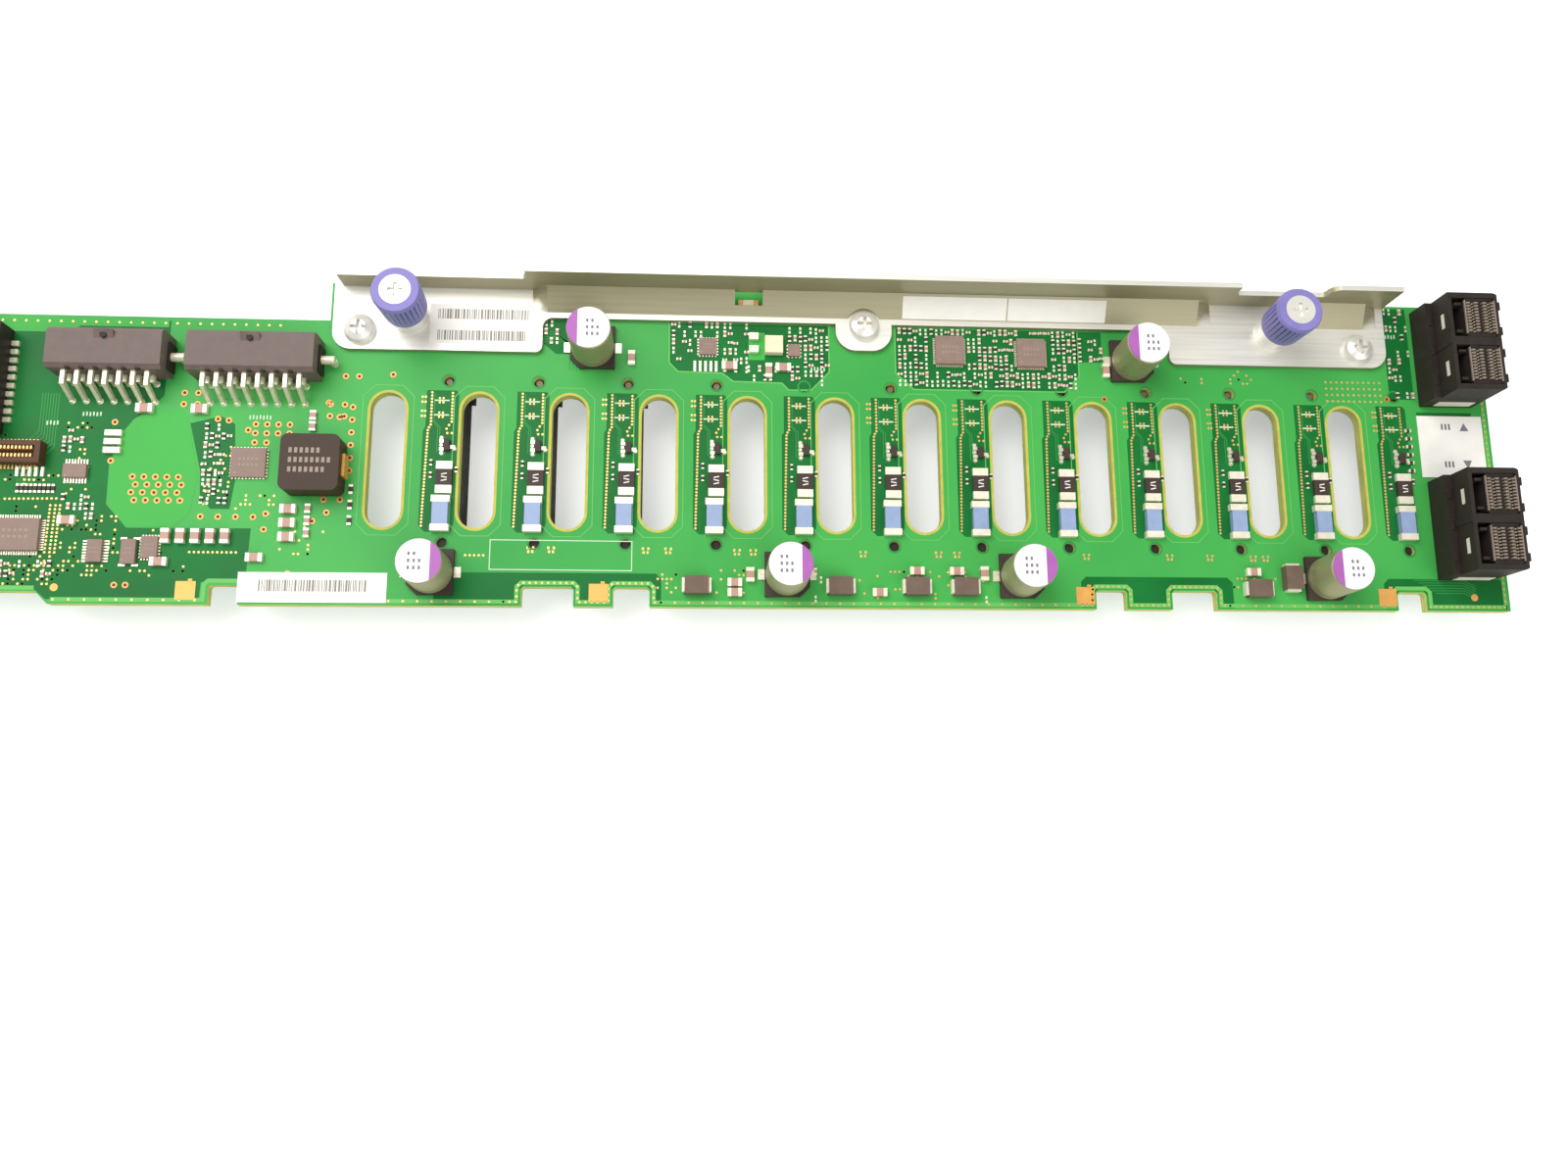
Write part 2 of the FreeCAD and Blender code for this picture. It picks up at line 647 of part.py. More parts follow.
pocket(bracket, "FootHoleCut", holes, S.sheet)
mid_foot = top + S.sheet / 2
wall_mid = wall_out - S.sheet / 2
round_edges(bracket, "TabCorners", [(S.bracket_left, tab_y, mid_foot),
                                    (S.bracket_right, tab_y, mid_foot)], S.tab_corner)
round_edges(bracket, "InnerCorners", [(S.left_tab_end, tab_y, mid_foot),
                                      (S.right_tab_start, tab_y, mid_foot)],
            S.tab_small_corner)
round_edges(bracket, "TabFillet", [(S.left_tab_end, band_y, mid_foot),
                                   (S.right_tab_start, band_y, mid_foot)], S.tab_fillet)
round_edges(bracket, "EarCorners", [(ear_low, ear_y, mid_foot), (ear_high, ear_y, mid_foot)],
            S.ear_corner)
round_edges(bracket, "WallSteps", [(S.rise_start, wall_mid, low_z), (S.rise_end, wall_mid, low_z),
                                   (S.second_rise, wall_mid, low_z)], S.step_round)
round_edges(bracket, "WallRound", [(S.second_rise, wall_mid, high_z)], S.second_round)
keep(bracket, "bracket")


# ---------------------------------------------------------------- bracket screws and nuts

screw_solids = []
nut_solids = []
for number, (x, y) in enumerate(bracket_screws, start=1):
    side_high = S.screw_head_high * 0.4
    round_high = S.screw_head_high * 0.3
    head = join("Head%d" % number, [
        rod("HeadSide%d" % number, x, y, foot_top, S.screw_head_dia, side_high),
        cone("HeadRound%d" % number, x, y, foot_top + side_high, S.screw_head_dia,
             S.screw_head_dia * 0.85, round_high),
        cone("HeadCrown%d" % number, x, y, foot_top + side_high + round_high,
             S.screw_head_dia * 0.85, S.screw_head_land, round_high)])
    shank = rod("Shank%d" % number, x, y, S.seat_height - S.nut_high, S.screw_dia,
                S.board_thick + S.sheet + S.nut_high)
    whole = join("Screw%d" % number, [head, shank])
    recess_z = foot_top + S.screw_head_high * 0.4
    arms = [block("Arm%d%s" % (number, way), x, y, recess_z, a, b, S.screw_head_high)
            for way, a, b in (("X", S.screw_head_dia * 0.5, S.screw_head_dia * 0.12),
                              ("Y", S.screw_head_dia * 0.12, S.screw_head_dia * 0.5))]
    screw_solids.append(cut("CrossScrew%d" % number, whole, join("Cross%d" % number, arms)))
    hexagon = doc.addObject("Part::Prism", "Hex%d" % number)
    hexagon.Polygon = 6
    bind(hexagon, "Circumradius", S.nut_flats * 0.57735)
    bind(hexagon, "Height", S.nut_high)
    place(hexagon, x, y, S.seat_height - S.nut_high)
    bore = rod("NutBore%d" % number, x, y, S.seat_height - S.nut_high * 1.5,
               S.screw_dia + S.thread_gap * 2, S.nut_high * 2)
    nut_solids.append(cut("Nut%d" % number, hexagon, bore))
keep(group("BracketScrews", screw_solids), "bracket_screws")
keep(group("BracketNuts", nut_solids), "bracket_nuts")


# ---------------------------------------------------------------- captive thumbscrews

lip_top = foot_top + S.ferrule_lip
knob_z = foot_top + S.knob_lift
web_z = knob_z + S.knob_length - S.knob_wall_top
knob_top_z = knob_z + S.knob_length
bore_dia = S.ferrule_dia + S.ferrule_gap * 2
spring_bore = S.ferrule_dia - S.ferrule_wall * 2
ferrules = []
for side_name, x in thumbs:
    tag = side_name.capitalize()
    sleeve = join(tag + "Sleeve", [
        rod(tag + "SleeveTube", x, thumb_row, foot_top, S.ferrule_dia, S.ferrule_high),
        rod(tag + "SleeveFlange", x, thumb_row, foot_top, S.ferrule_flange_dia,
            S.ferrule_flange)])
    hollow = join(tag + "SleeveHollow", [
        rod(tag + "SpringBore", x, thumb_row, lip_top, spring_bore, S.ferrule_high),
        rod(tag + "PinBore", x, thumb_row, foot_top - S.sheet, S.pin_dia + S.pin_gap * 2,
            S.ferrule_high)])
    ferrules.append(cut(tag + "Ferrule", sleeve, hollow))

    knob = new_body(tag + "Knob")
    turned = new_sketch(knob, tag + "KnobSection", "XZ_Plane", -thumb_row)
    rim = S.knob_rib_depth
    outline(turned, [
        (x + bore_dia / 2, knob_z), (x + S.knob_low_dia / 2 - rim, knob_z),
        (x + S.knob_low_dia / 2, knob_z + rim),
        (x + S.knob_top_dia / 2, knob_top_z - rim * 2),
        (x + S.knob_top_dia / 2 - rim, knob_top_z),
        (x + S.disc_dia / 2, knob_top_z), (x + S.disc_dia / 2, knob_top_z - S.disc_thick),
        (x + S.pin_dia / 2, knob_top_z - S.disc_thick), (x + S.pin_dia / 2, web_z),
        (x + bore_dia / 2, web_z)])
    shaft = turned.addGeometry(Part.LineSegment(
        Vector(x.value, knob_z.value, 0), Vector(x.value, knob_top_z.value, 0)), True)
    for point, level in ((1, knob_z), (2, knob_top_z)):
        tie(turned, "DistanceX", shaft, point, x)
        tie(turned, "DistanceY", shaft, point, level)
    turning = knob.newObject("PartDesign::Revolution", tag + "KnobTurned")
    turning.Profile = turned
    turning.ReferenceAxis = (turned, ["Axis0"])
    turning.Angle = 360
    grip = new_sketch(knob, tag + "KnobGrip", "XY_Plane", knob_z + rim * 5)
    outer = S.knob_top_dia / 2
    outline(grip, [(x - rim * 0.7, thumb_row + outer + rim), (x, thumb_row + outer - rim * 1.6),
                   (x + rim * 0.7, thumb_row + outer + rim)])
    hub = grip.addGeometry(Part.Circle(Vector(x.value, thumb_row.value, 0), Vector(0, 0, 1), 1),
                           True)
    tie(grip, "DistanceX", hub, 3, x)
    tie(grip, "DistanceY", hub, 3, thumb_row)
    groove = pocket(knob, tag + "KnobGroove", grip, S.knob_length - rim * 8, backwards=True)
    # the grooves are copied round the knob's own axis
    spindle = knob.newObject("PartDesign::Line", tag + "KnobAxis")
    spindle.MapMode = "Deactivated"
    place(spindle, x, thumb_row, 0)
    settle()
    grooves = knob.newObject("PartDesign::PolarPattern", tag + "KnobGrooves")
    grooves.Originals = [groove]
    grooves.Axis = (spindle, [""])
    grooves.Angle = 360
    bind(grooves, "Occurrences", S.knob_rib_count)
    knob.Tip = grooves
    keep(knob, side_name + "_knob")

    tip_z = foot_top - S.captive_gap - S.thread_length
    metal = join(tag + "PinSolid", [
        rod(tag + "PinTip", x, thumb_row, tip_z, S.thread_dia, S.thread_length),
        rod(tag + "PinShank", x, thumb_row, tip_z, S.pin_dia, knob_top_z - tip_z),
        rod(tag + "PinDisc", x, thumb_row, knob_top_z - S.disc_thick, S.disc_dia,
            S.disc_thick + S.disc_stand)])
    arms = [block("%sPinArm%s" % (tag, way), x, thumb_row, knob_top_z - S.disc_thick * 0.5, a, b,
                  S.disc_thick * 2)
            for way, a, b in (("X", S.disc_dia * 0.5, S.disc_dia * 0.12),
                              ("Y", S.disc_dia * 0.12, S.disc_dia * 0.5))]
    keep(cut(tag + "Pin", metal, join(tag + "PinCross", arms)), side_name + "_captive_screw")

    coil_top = web_z - S.washer_thick
    washer = cut(tag + "Washer",
                 rod(tag + "WasherDisc", x, thumb_row, coil_top, bore_dia - S.ferrule_gap * 2,
                     S.washer_thick),
                 rod(tag + "WasherBore", x, thumb_row, coil_top - S.washer_thick,
                     S.pin_dia + S.ferrule_gap * 2, S.washer_thick * 3))
    keep(washer, side_name + "_spring_washer")

    coil_dia = spring_bore - S.coil_gap * 2 - S.coil_wire
    helix = doc.addObject("Part::Helix", tag + "Helix")
    bind(helix, "Height", coil_top - lip_top - S.coil_wire)
    bind(helix, "Pitch", (coil_top - lip_top - S.coil_wire) / S.coil_turns)
    bind(helix, "Radius", coil_dia / 2)
    place(helix, x, thumb_row, lip_top + S.coil_wire / 2)
    wire = doc.addObject("Part::RegularPolygon", tag + "Wire")
    wire.Polygon = 6
    bind(wire, "Circumradius", S.coil_wire / 2)
    place(wire, x + coil_dia / 2, thumb_row, lip_top + S.coil_wire / 2)
    wire.Placement = FreeCAD.Placement(wire.Placement.Base,
                                       FreeCAD.Rotation(Vector(1, 0, 0), 90))
    spring = doc.addObject("Part::Sweep", tag + "Spring")
    spring.Sections = [wire]
    spring.Spine = (helix, [])
    spring.Solid = True
    spring.Frenet = True
    keep(spring, side_name + "_spring")
keep(group("Ferrules", ferrules), "thumbscrew_ferrules")


# ---------------------------------------------------------------- polymer capacitors

cans = []
bases = []
leads = []
for number, (x, y) in enumerate(capacitor_places, start=1):
    low = top + S.cap_base_high
    neck = low + S.cap_groove_high
    body_z = neck + S.cap_groove * 2
    rolled_z = top + S.cap_high - S.cap_edge
    cans.append(join("Can%d" % number, [
        rod("CanFoot%d" % number, x, y, low, S.cap_dia, S.cap_groove_high),
        rod("CanNeck%d" % number, x, y, neck, S.cap_dia - S.cap_groove * 2, S.cap_groove * 2),
        rod("CanBody%d" % number, x, y, body_z, S.cap_dia, rolled_z - body_z),
        cone("CanRolled%d" % number, x, y, rolled_z, S.cap_dia, S.cap_dia - S.cap_edge * 2,
             S.cap_edge)]))
    plate = block("CapPlate%d" % number, x, y, top, S.cap_base, S.cap_base, S.cap_base_high)
    settle()
    cut_side = 1 if number in (1, 3) else -1
    corners = [(x + S.cap_base / 2 * side_x, y + S.cap_base / 2 * side_y, None)
               for side_x in (-1 * cut_side,) for side_y in (1, -1)]
    trimmed = doc.addObject("Part::Chamfer", "CapTrim%d" % number)
    trimmed.Base = plate
    trimmed.Edges = [(int(name[4:]), S.cap_base_cut.value, S.cap_base_cut.value)
                     for name in edges_at(plate.Shape, corners)]
    bases.append(trimmed)
    for side in (-1, 1):
        leads.append(block("CapLead%d%s" % (number, "L" if side < 0 else "R"),
                           x + (S.cap_base / 2 + S.cap_lead_reach / 2) * side, y, top,
                           S.cap_lead_reach, S.cap_lead_width, S.cap_lead_thick))
keep(group("CapacitorCans", cans), "capacitor_cans")
keep(group("CapacitorBases", bases), "capacitor_bases")
keep(group("CapacitorLeads", leads), "capacitor_leads")


# ---------------------------------------------------------------- power headers

lock_pegs = []
pin_solids = []
for tag, (mid, columns) in zip(("HeaderA", "HeaderB"), headers):
    long = S.header_pitch * columns + S.header_ends
    housing = new_body(tag)
    section = new_sketch(housing, tag + "Section", "YZ_Plane", mid - long / 2)
    front = header_back + S.header_depth
    outline(section, [
        (header_back, top), (front, top), (front, top + S.header_high - S.header_wall),
        (front - S.header_wall, top + S.header_high),
        (header_back + S.header_wall, top + S.header_high),
        (header_back, top + S.header_high - S.header_wall)])
    pad(housing, tag + "Shell", section, long)
    mouth = new_sketch(housing, tag + "Mouth", "XZ_Plane", -front)
    rectangle(mouth, mid - long / 2 + S.header_wall, top + S.header_wall,
              mid + long / 2 - S.header_wall, top + S.header_high - S.header_wall)
    settle()
    solid_volume = housing.Shape.Volume
    hollow = pocket(housing, tag + "Hollow", mouth, S.header_depth - S.header_floor,
                    backwards=True)
    settle()
    if housing.Shape.Volume > solid_volume - 1:
        hollow.Reversed = False
    latch = new_sketch(housing, tag + "Latch", "YZ_Plane", mid - S.header_pitch * 0.7)
    outline(latch, [(front - S.header_wall * 3, top + S.header_high),
                    (front - S.header_wall, top + S.header_high),
                    (front - S.header_wall, top + S.header_high + S.header_wall)])
    pad(housing, tag + "LatchRamp", latch, S.header_pitch * 1.4)
    openings = new_sketch(housing, tag + "PinHoles", "XZ_Plane", -front)
    first = mid - S.header_pitch * (columns - 1) / 2
    for level in (S.header_row_low, S.header_row_high):
        half = S.header_pin / 2 + S.thread_gap
        rectangle(openings, first - half, top + level - half, first + half,
                  top + level + half)
    drill = pocket(housing, tag + "PinDrill", openings, S.header_depth * 2, backwards=True)
    drill.Midplane = True
    settle()
    repeat(housing, tag + "PinRows", [drill], openings, "H_Axis",
           S.header_pitch * (columns - 1), columns)
    keep(housing, "power_header_left" if tag == "HeaderA" else "power_header_right")

    pins = new_body(tag + "Pins", several=True)
    row_features = []
    for row_tag, level, knee, tail in (
            ("Low", S.header_row_low, S.header_low_tail, S.header_low_tail),
            ("High", S.header_row_high, S.header_knee, S.header_tail)):
        half = S.header_pin / 2
        profile = new_sketch(pins, tag + row_tag + "Pin", "YZ_Plane", first - half)
        outline(profile, [
            (front - S.header_wall * 2, top + level - half),
            (front - S.header_wall * 2, top + level + half),
            (header_back - knee - half, top + level + half),
            (header_back - tail - half, top), (header_back - tail - half, S.seat_height),
            (header_back - tail + half, S.seat_height), (header_back - tail + half, top),
            (header_back - knee + half, top + level - half)])
        row_features.append(pad(pins, tag + row_tag + "PinPad", profile, S.header_pin))
        settle()
    guide = new_sketch(pins, tag + "PinGuide", "XY_Plane", top)
    guide.addGeometry(Part.LineSegment(Vector(0, 0, 0), Vector(1, 0, 0)), True)
    repeat(pins, tag + "PinPattern", row_features, guide, "H_Axis",
           S.header_pitch * (columns - 1), columns)
    keep(pins, "power_pins_left" if tag == "HeaderA" else "power_pins_right")

    peg = rod(tag + "LockPeg", mid + long / 2, header_back + 4.3, top + S.header_high * 0.35,
              S.header_lock_dia, S.header_lock_long)
    peg.Placement = FreeCAD.Placement(peg.Placement.Base, FreeCAD.Rotation(Vector(0, 1, 0), 90))
    lock_pegs.append(peg)
keep(group("HeaderLocks", lock_pegs), "power_header_pegs")


# ---------------------------------------------------------------- data connectors

core_solids = []
for tag, start in (("FrontPort", S.port_front_gap - half_wide),
                   ("RearPort", half_wide - S.port_back_gap - S.port_long)):
    port = new_body(tag)
    shell_x = port_x + S.port_ledge
    profile = new_sketch(port, tag + "Profile", "XZ_Plane", -start)
    outline(profile, [
        (port_x, top), (port_x + S.port_base_wide, top),
        (port_x + S.port_base_wide, top + S.port_base_high),
        (shell_x + S.port_shell_wide, top + S.port_base_high),
        (shell_x + S.port_shell_wide, top + S.port_high), (shell_x, top + S.port_high),
        (shell_x, top + S.port_base_high), (port_x, top + S.port_base_high)])
    pad(port, tag + "Shell", profile, S.port_long, backwards=True)
    mouths = new_sketch(port, tag + "Mouths", "XY_Plane", top + S.port_high)
    middle = start + S.port_long / 2
    for side in (-1, 1):
        mid = middle + S.port_pitch / 2 * side
        rectangle(mouths, shell_x + S.port_wall, mid - S.port_mouth_long / 2,
                  shell_x + S.port_shell_wide - S.port_wall, mid + S.port_mouth_long / 2)
    pocket(port, tag + "MouthCut", mouths, S.port_mouth_deep)
    windows = new_sketch(port, tag + "Windows", "YZ_Plane", shell_x + S.port_wall * 1.5)
    for side in (-1, 1):
        mid = middle + S.port_pitch / 2 * side
        rectangle(windows, mid - S.latch_long / 2, top + S.port_high - S.latch_high * 2.2,
                  mid + S.latch_long / 2, top + S.port_high - S.latch_high * 1.2)
    pocket(port, tag + "WindowCut", windows, S.port_wall * 3)
    round_edges(port, tag + "EndRounds", [
        (port_x + S.port_base_wide, start, None),
        (port_x + S.port_base_wide, start + S.port_long, None)], S.port_ledge)
    keep(port, "data_connector_front" if tag == "FrontPort" else "data_connector_rear")
    for side in (-1, 1):
        mid = middle + S.port_pitch / 2 * side
        core_x = shell_x + S.port_shell_wide - S.port_wall - S.core_wide / 2
        name = "%sCore%s" % (tag, "A" if side < 0 else "B")
        high = S.port_mouth_deep - S.core_drop
        floor_z = top + S.port_high - S.port_mouth_deep
        body = block(name + "Body", core_x, mid, floor_z, S.core_wide, S.core_long, high)
        slots = [block("%sSlot%d" % (name, i), core_x + S.core_slot_gap / 2 * i, mid,
                       floor_z + S.port_mouth_deep / 5, S.core_slot, S.core_long * 0.88,
                       S.port_mouth_deep) for i in (-1, 1)]
        core_solids.append(cut(name, body, join(name + "Slots", slots)))
keep(group("DataCores", core_solids), "data_contact_blocks")


# ---------------------------------------------------------------- drive receptacles (underside)

recept = new_body("Receptacles", several=True)
recept_plan = new_sketch(recept, "ReceptPlan", "XY_Plane", 0)
half_r = S.recept_long / 2
half_w = S.recept_wide / 2
half_e = S.recept_end_wide / 2
rx = S.first_bay_x
ry = S.receptacle_y
outline(recept_plan, [
    (rx - half_e, ry - half_r), (rx + half_e, ry - half_r),
    (rx + half_e, ry - half_r + S.recept_end), (rx + half_w, ry - half_r + S.recept_end),
    (rx + half_w, ry + half_r - S.recept_end), (rx + half_e, ry + half_r - S.recept_end),
    (rx + half_e, ry + half_r), (rx - half_e, ry + half_r),
    (rx - half_e, ry + half_r - S.recept_end), (rx - half_w, ry + half_r - S.recept_end),
    (rx - half_w, ry - half_r + S.recept_end), (rx - half_e, ry - half_r + S.recept_end)])
recept_pad = pad(recept, "ReceptPad", recept_plan, S.seat_height)
blades = new_sketch(recept, "BladePlan", "XY_Plane", 0)
slot_low = ry - (S.signal_long + S.blade_key + S.power_long) / 2
half_b = S.blade_width / 2
rectangle(blades, rx - half_b, slot_low, rx + half_b, slot_low + S.signal_long)
rectangle(blades, rx - half_b, slot_low + S.signal_long + S.blade_key, rx + half_b,
          slot_low + S.signal_long + S.blade_key + S.power_long)
settle()
before = recept.Shape.Volume
blade_cut = pocket(recept, "BladeCut", blades, S.blade_depth)
settle()
if recept.Shape.Volume > before - 1:
    blade_cut.Reversed = True
    settle()
front_peg = new_sketch(recept, "FrontPeg", "XY_Plane", S.seat_height)
ring(front_peg, rx, front_peg_y, S.peg_hole_dia - S.peg_gap * 2)
peg_pad = pad(recept, "FrontPegPad", front_peg, S.board_thick - S.peg_short)
settle()
repeat(recept, "ReceptRow", [recept_pad, blade_cut, peg_pad], recept_plan, "H_Axis", last_bay,
       S.bay_count)
keep(recept, "drive_receptacles")

locks = new_body("BoardLocks", several=True)
lock_plan = new_sketch(locks, "LockPlan", "XY_Plane", S.seat_height)
ring(lock_plan, rx, back_peg_y, S.lock_dia)
lock_pad = pad(locks, "LockPad", lock_plan, S.board_thick - S.lock_drop)
settle()
repeat(locks, "LockRow", [lock_pad], lock_plan, "H_Axis", last_bay, S.bay_count)
keep(locks, "receptacle_board_locks")


# ---------------------------------------------------------------- parts of each bay

shunts = []
shunt_ends = []
films = []
film_ends = []
fets = []
for bay in range(int(S.bay_count.value)):
    x = S.first_bay_x + S.bay_pitch * bay
    tag = "%02d" % (bay + 1)
    shunts.append(block("Shunt" + tag, x, S.shunt_y, top, S.shunt_wide,
                        S.shunt_long - S.shunt_end * 2, S.shunt_high))
    films.append(block("Film" + tag, x + S.film_x, S.film_y, top, S.film_wide,
                       S.film_long - S.film_end * 2, S.film_high))
    for end, way in (("F", -1), ("B", 1)):
        reach = (S.shunt_long - S.shunt_end) / 2 * way
        shunt_ends.append(block("ShuntEnd" + tag + end, x, S.shunt_y + reach, top,
                                S.shunt_wide, S.shunt_end, S.shunt_high))
        reach = (S.film_long - S.film_end) / 2 * way
        film_ends.append(block("FilmEnd" + tag + end, x + S.film_x, S.film_y + reach, top,
                               S.film_end_wide, S.film_end, S.film_high))
    fets.append(block("Switch" + tag, x, S.fet_y, top, S.fet_wide, S.fet_deep,
                      S.shunt_high))
keep(group("SenseResistors", shunts), "sense_resistors")
keep(group("SenseEnds", shunt_ends), "sense_resistor_ends")
keep(group("BayCapacitors", films), "bay_capacitors")
keep(group("BayCapacitorEnds", film_ends), "bay_capacitor_ends")
keep(group("BaySwitches", fets), "bay_switches")


# ---------------------------------------------------------------- inductors

coil_block = block("CoilBlock", S.coil_x, S.coil_y, top, S.coil_side, S.coil_side, S.coil_high)
settle()
coil = doc.addObject("Part::Fillet", "PowerCoil")
coil.Base = coil_block
coil_corners = [(S.coil_x + S.coil_side / 2 * i, S.coil_y + S.coil_side / 2 * j, None)
                for i in (-1, 1) for j in (-1, 1)]
coil.Edges = [(int(name[4:]), S.coil_corner.value, S.coil_corner.value)
              for name in edges_at(coil_block.Shape, coil_corners)]
keep(coil, "power_inductor")
keep(group("CoilTerminals", [
    block("CoilTerminal%d" % i, S.coil_x + (S.coil_side / 2 + 0.3) * i, S.coil_y, top, 0.6,
          S.coil_side * 0.4, S.coil_high * 0.6) for i in (-1, 1)]), "power_inductor_terminals")
beads = []
bead_ends = []
bead_body = S.bead_long - S.bead_end * 2
bead_reach = (bead_body + S.bead_end) / 2
for number, x in enumerate((-10.6, 22.0, 39.5, 50.7, 119.7), start=1):
    beads.append(block("Bead%d" % number, x, bead_y, top, bead_body, S.bead_wide, S.bead_high))
    for way in (-1, 1):
        bead_ends.append(block("BeadEnd%d%s" % (number, "L" if way < 0 else "R"),
                               x + bead_reach * way, bead_y, top, S.bead_end,
                               S.bead_wide * 0.8, S.bead_high * 0.7))
upright_y = 7.4 - half_wide
beads.append(block("BeadUpright", 127.9, upright_y, top, S.bead_wide, bead_body, S.bead_high))
for way in (-1, 1):
    bead_ends.append(block("BeadUprightEnd%s" % ("F" if way < 0 else "B"), 127.9,
                           upright_y + bead_reach * way, top, S.bead_wide * 0.8, S.bead_end,
                           S.bead_high * 0.7))
keep(group("Beads", beads), "small_inductors")
keep(group("BeadEnds", bead_ends), "small_inductor_ends")


# ---------------------------------------------------------------- chips

def chips(name, rows):
    """Flat packages given by middle, length, width and height."""
    return group(name, [block("%s%d" % (name, i), x, y, top, long_x, long_y, high)
                        for i, (x, y, long_x, long_y, high) in enumerate(rows, start=1)])


keep(chips("Controller", ((48.9, half_wide - 14.0, S.quad_side, S.quad_side, S.quad_high),
                          (68.5, half_wide - 14.3, S.quad_side, S.quad_side, S.quad_high))),
     "controllers")
keep(chips("Regulator", ((-111.0, -5.8, 7.6, 6.8, 0.95),
                         (-8.4, half_wide - 14.1, 4.1, 4.0, 0.95),
                         (11.9, half_wide - 14.7, 2.9, 2.8, 0.95),
                         (-130.8, -25.4, 3.6, 4.9, 0.95))),
     "regulators")
keep(chips("Logic", ((-148.2, -8.2, 5.0, 3.1, 1.1), (-142.3, -26.3, 3.2, 5.0, 1.1),
                     (-135.1, -26.4, 3.1, 5.5, 1.1), (-159.2, -22.8, 9.8, 7.2, 1.3))),
     "logic_chips")
keep(chips("Oscillator", ((7.1, half_wide - 13.6, 4.2, 4.2, 1.9),)), "oscillator")


# ---------------------------------------------------------------- left end connectors

stack_long = S.stack_pitch * (S.stack_leads - 1) + 6.4
stack = new_body("StackHeader")
stack_plan = new_sketch(stack, "StackPlan", "XY_Plane", top)
rectangle(stack_plan, stack_x - S.stack_wide, stack_y - stack_long / 2, stack_x,
          stack_y + stack_long / 2)
pad(stack, "StackPad", stack_plan, S.stack_high)
stack_mouth = new_sketch(stack, "StackMouth", "XY_Plane", top + S.stack_high)
rectangle(stack_mouth, stack_x - S.stack_wide + 1.2, stack_y - stack_long / 2 + 1.6,
          stack_x - 1.2, stack_y + stack_long / 2 - 1.6)
pocket(stack, "StackHollow", stack_mouth, S.stack_high - 1.4)
keep(stack, "signal_header")
stack_pins = []
stack_feet = []
for i in range(int(S.stack_leads.value)):
    y = stack_y + S.stack_pitch * (i - (S.stack_leads - 1) / 2)
    for side in (-1, 1):
        tag = "%d%s" % (i + 1, "L" if side < 0 else "R")
        mid = stack_x - S.stack_wide / 2
        stack_pins.append(block("StackPin" + tag, mid + 1.0 * side, y, top + 1.4, 0.5, 0.5,
                                S.stack_high - 2.2))
        stack_feet.append(block("StackFoot" + tag, mid + (S.stack_wide / 2 + 0.8) * side, y,
                                top, 1.6, S.stack_pitch * 0.55, 0.8))
keep(group("StackPins", stack_pins), "signal_header_pins")
keep(group("StackFeet", stack_feet), "signal_header_leads")
mezz = new_body("MezzConnector")
mezz_plan = new_sketch(mezz, "MezzPlan", "XY_Plane", top)
rectangle(mezz_plan, mezz_x - S.mezz_long / 2, S.mezz_y - S.mezz_wide / 2,
          mezz_x + S.mezz_long / 2, S.mezz_y + S.mezz_wide / 2)
pad(mezz, "MezzPad", mezz_plan, S.mezz_high)
mezz_slot = new_sketch(mezz, "MezzSlot", "XY_Plane", top + S.mezz_high)
rectangle(mezz_slot, mezz_x - S.mezz_long / 2 + 1.2, S.mezz_y - S.mezz_wide / 2 + 1.1,
          mezz_x + S.mezz_long / 2 - 1.2, S.mezz_y + S.mezz_wide / 2 - 1.1)
pocket(mezz, "MezzHollow", mezz_slot, S.mezz_high - 0.8)
keep(mezz, "mezzanine_connector")


# ---------------------------------------------------------------- chip capacitors

ceramics = []
for number, (x, y, long_x, long_y) in enumerate((
        (-134.6, 6.6, 3.6, 2.0), (-122.6, 6.6, 3.4, 2.0), (-127.6, -22.8, 1.8, 3.2),
        (-124.4, -22.8, 1.8, 3.2), (-121.2, -22.8, 1.8, 3.2), (-118.0, -22.8, 1.8, 3.2),
        (-114.8, -22.8, 1.8, 3.2), (-101.6, -16.4, 3.4, 2.0), (-101.6, -19.6, 3.4, 2.0),
        (-101.6, -22.8, 3.4, 2.0), (-2.0, 5.6 - half_wide, 3.2, 1.8),
        (-2.0, 3.3 - half_wide, 3.2, 1.8),
        (1.5, 7.4 - half_wide, 1.8, 3.2), (31.0, 3.5 - half_wide, 3.2, 1.8),
        (39.7, 8.5 - half_wide, 3.2, 1.8), (48.9, 8.5 - half_wide, 3.2, 1.8),
        (55.3, 8.0 - half_wide, 1.8, 3.2), (118.9, 8.8 - half_wide, 3.2, 1.8)), start=1):
    ceramics.append(block("Ceramic%d" % number, x, y, top, long_x, long_y, 1.2))
keep(group("Ceramics", ceramics), "ceramic_capacitors")


# ---------------------------------------------------------------- labels

slope_mid = wall_out - S.slope_depth / 2 - S.sheet / 2
labels = [
    block("FrontLabel", -95.4, -half_wide + 3.9, top, 32.3, 6.8, S.paper),
    block("TabLabel", S.slope_start - 11.8, wall_out - 9.9, foot_top, 23.0, 9.4, S.paper),
    block("PortLabel", half_long - 10.0, 2.2, top, 16.2, 15.4, S.paper)]
keep(group("Labels", labels), "labels")


# ---------------------------------------------------------------- check and write

settle()
for obj in doc.Objects:
    if "Invalid" in obj.State or "Error" in obj.State:
        raise RuntimeError("%s did not build: %s" % (obj.Name, obj.State))
for obj in nodes:
    if obj.Shape.isNull() or not obj.Shape.isValid() or not obj.Shape.Solids:
        raise RuntimeError("%s has no valid solid" % obj.Label)
for obj in nodes:
    obj.Shape.exportStep("parts/%s.step" % obj.Label)
print("%d sub-parts written" % len(nodes))
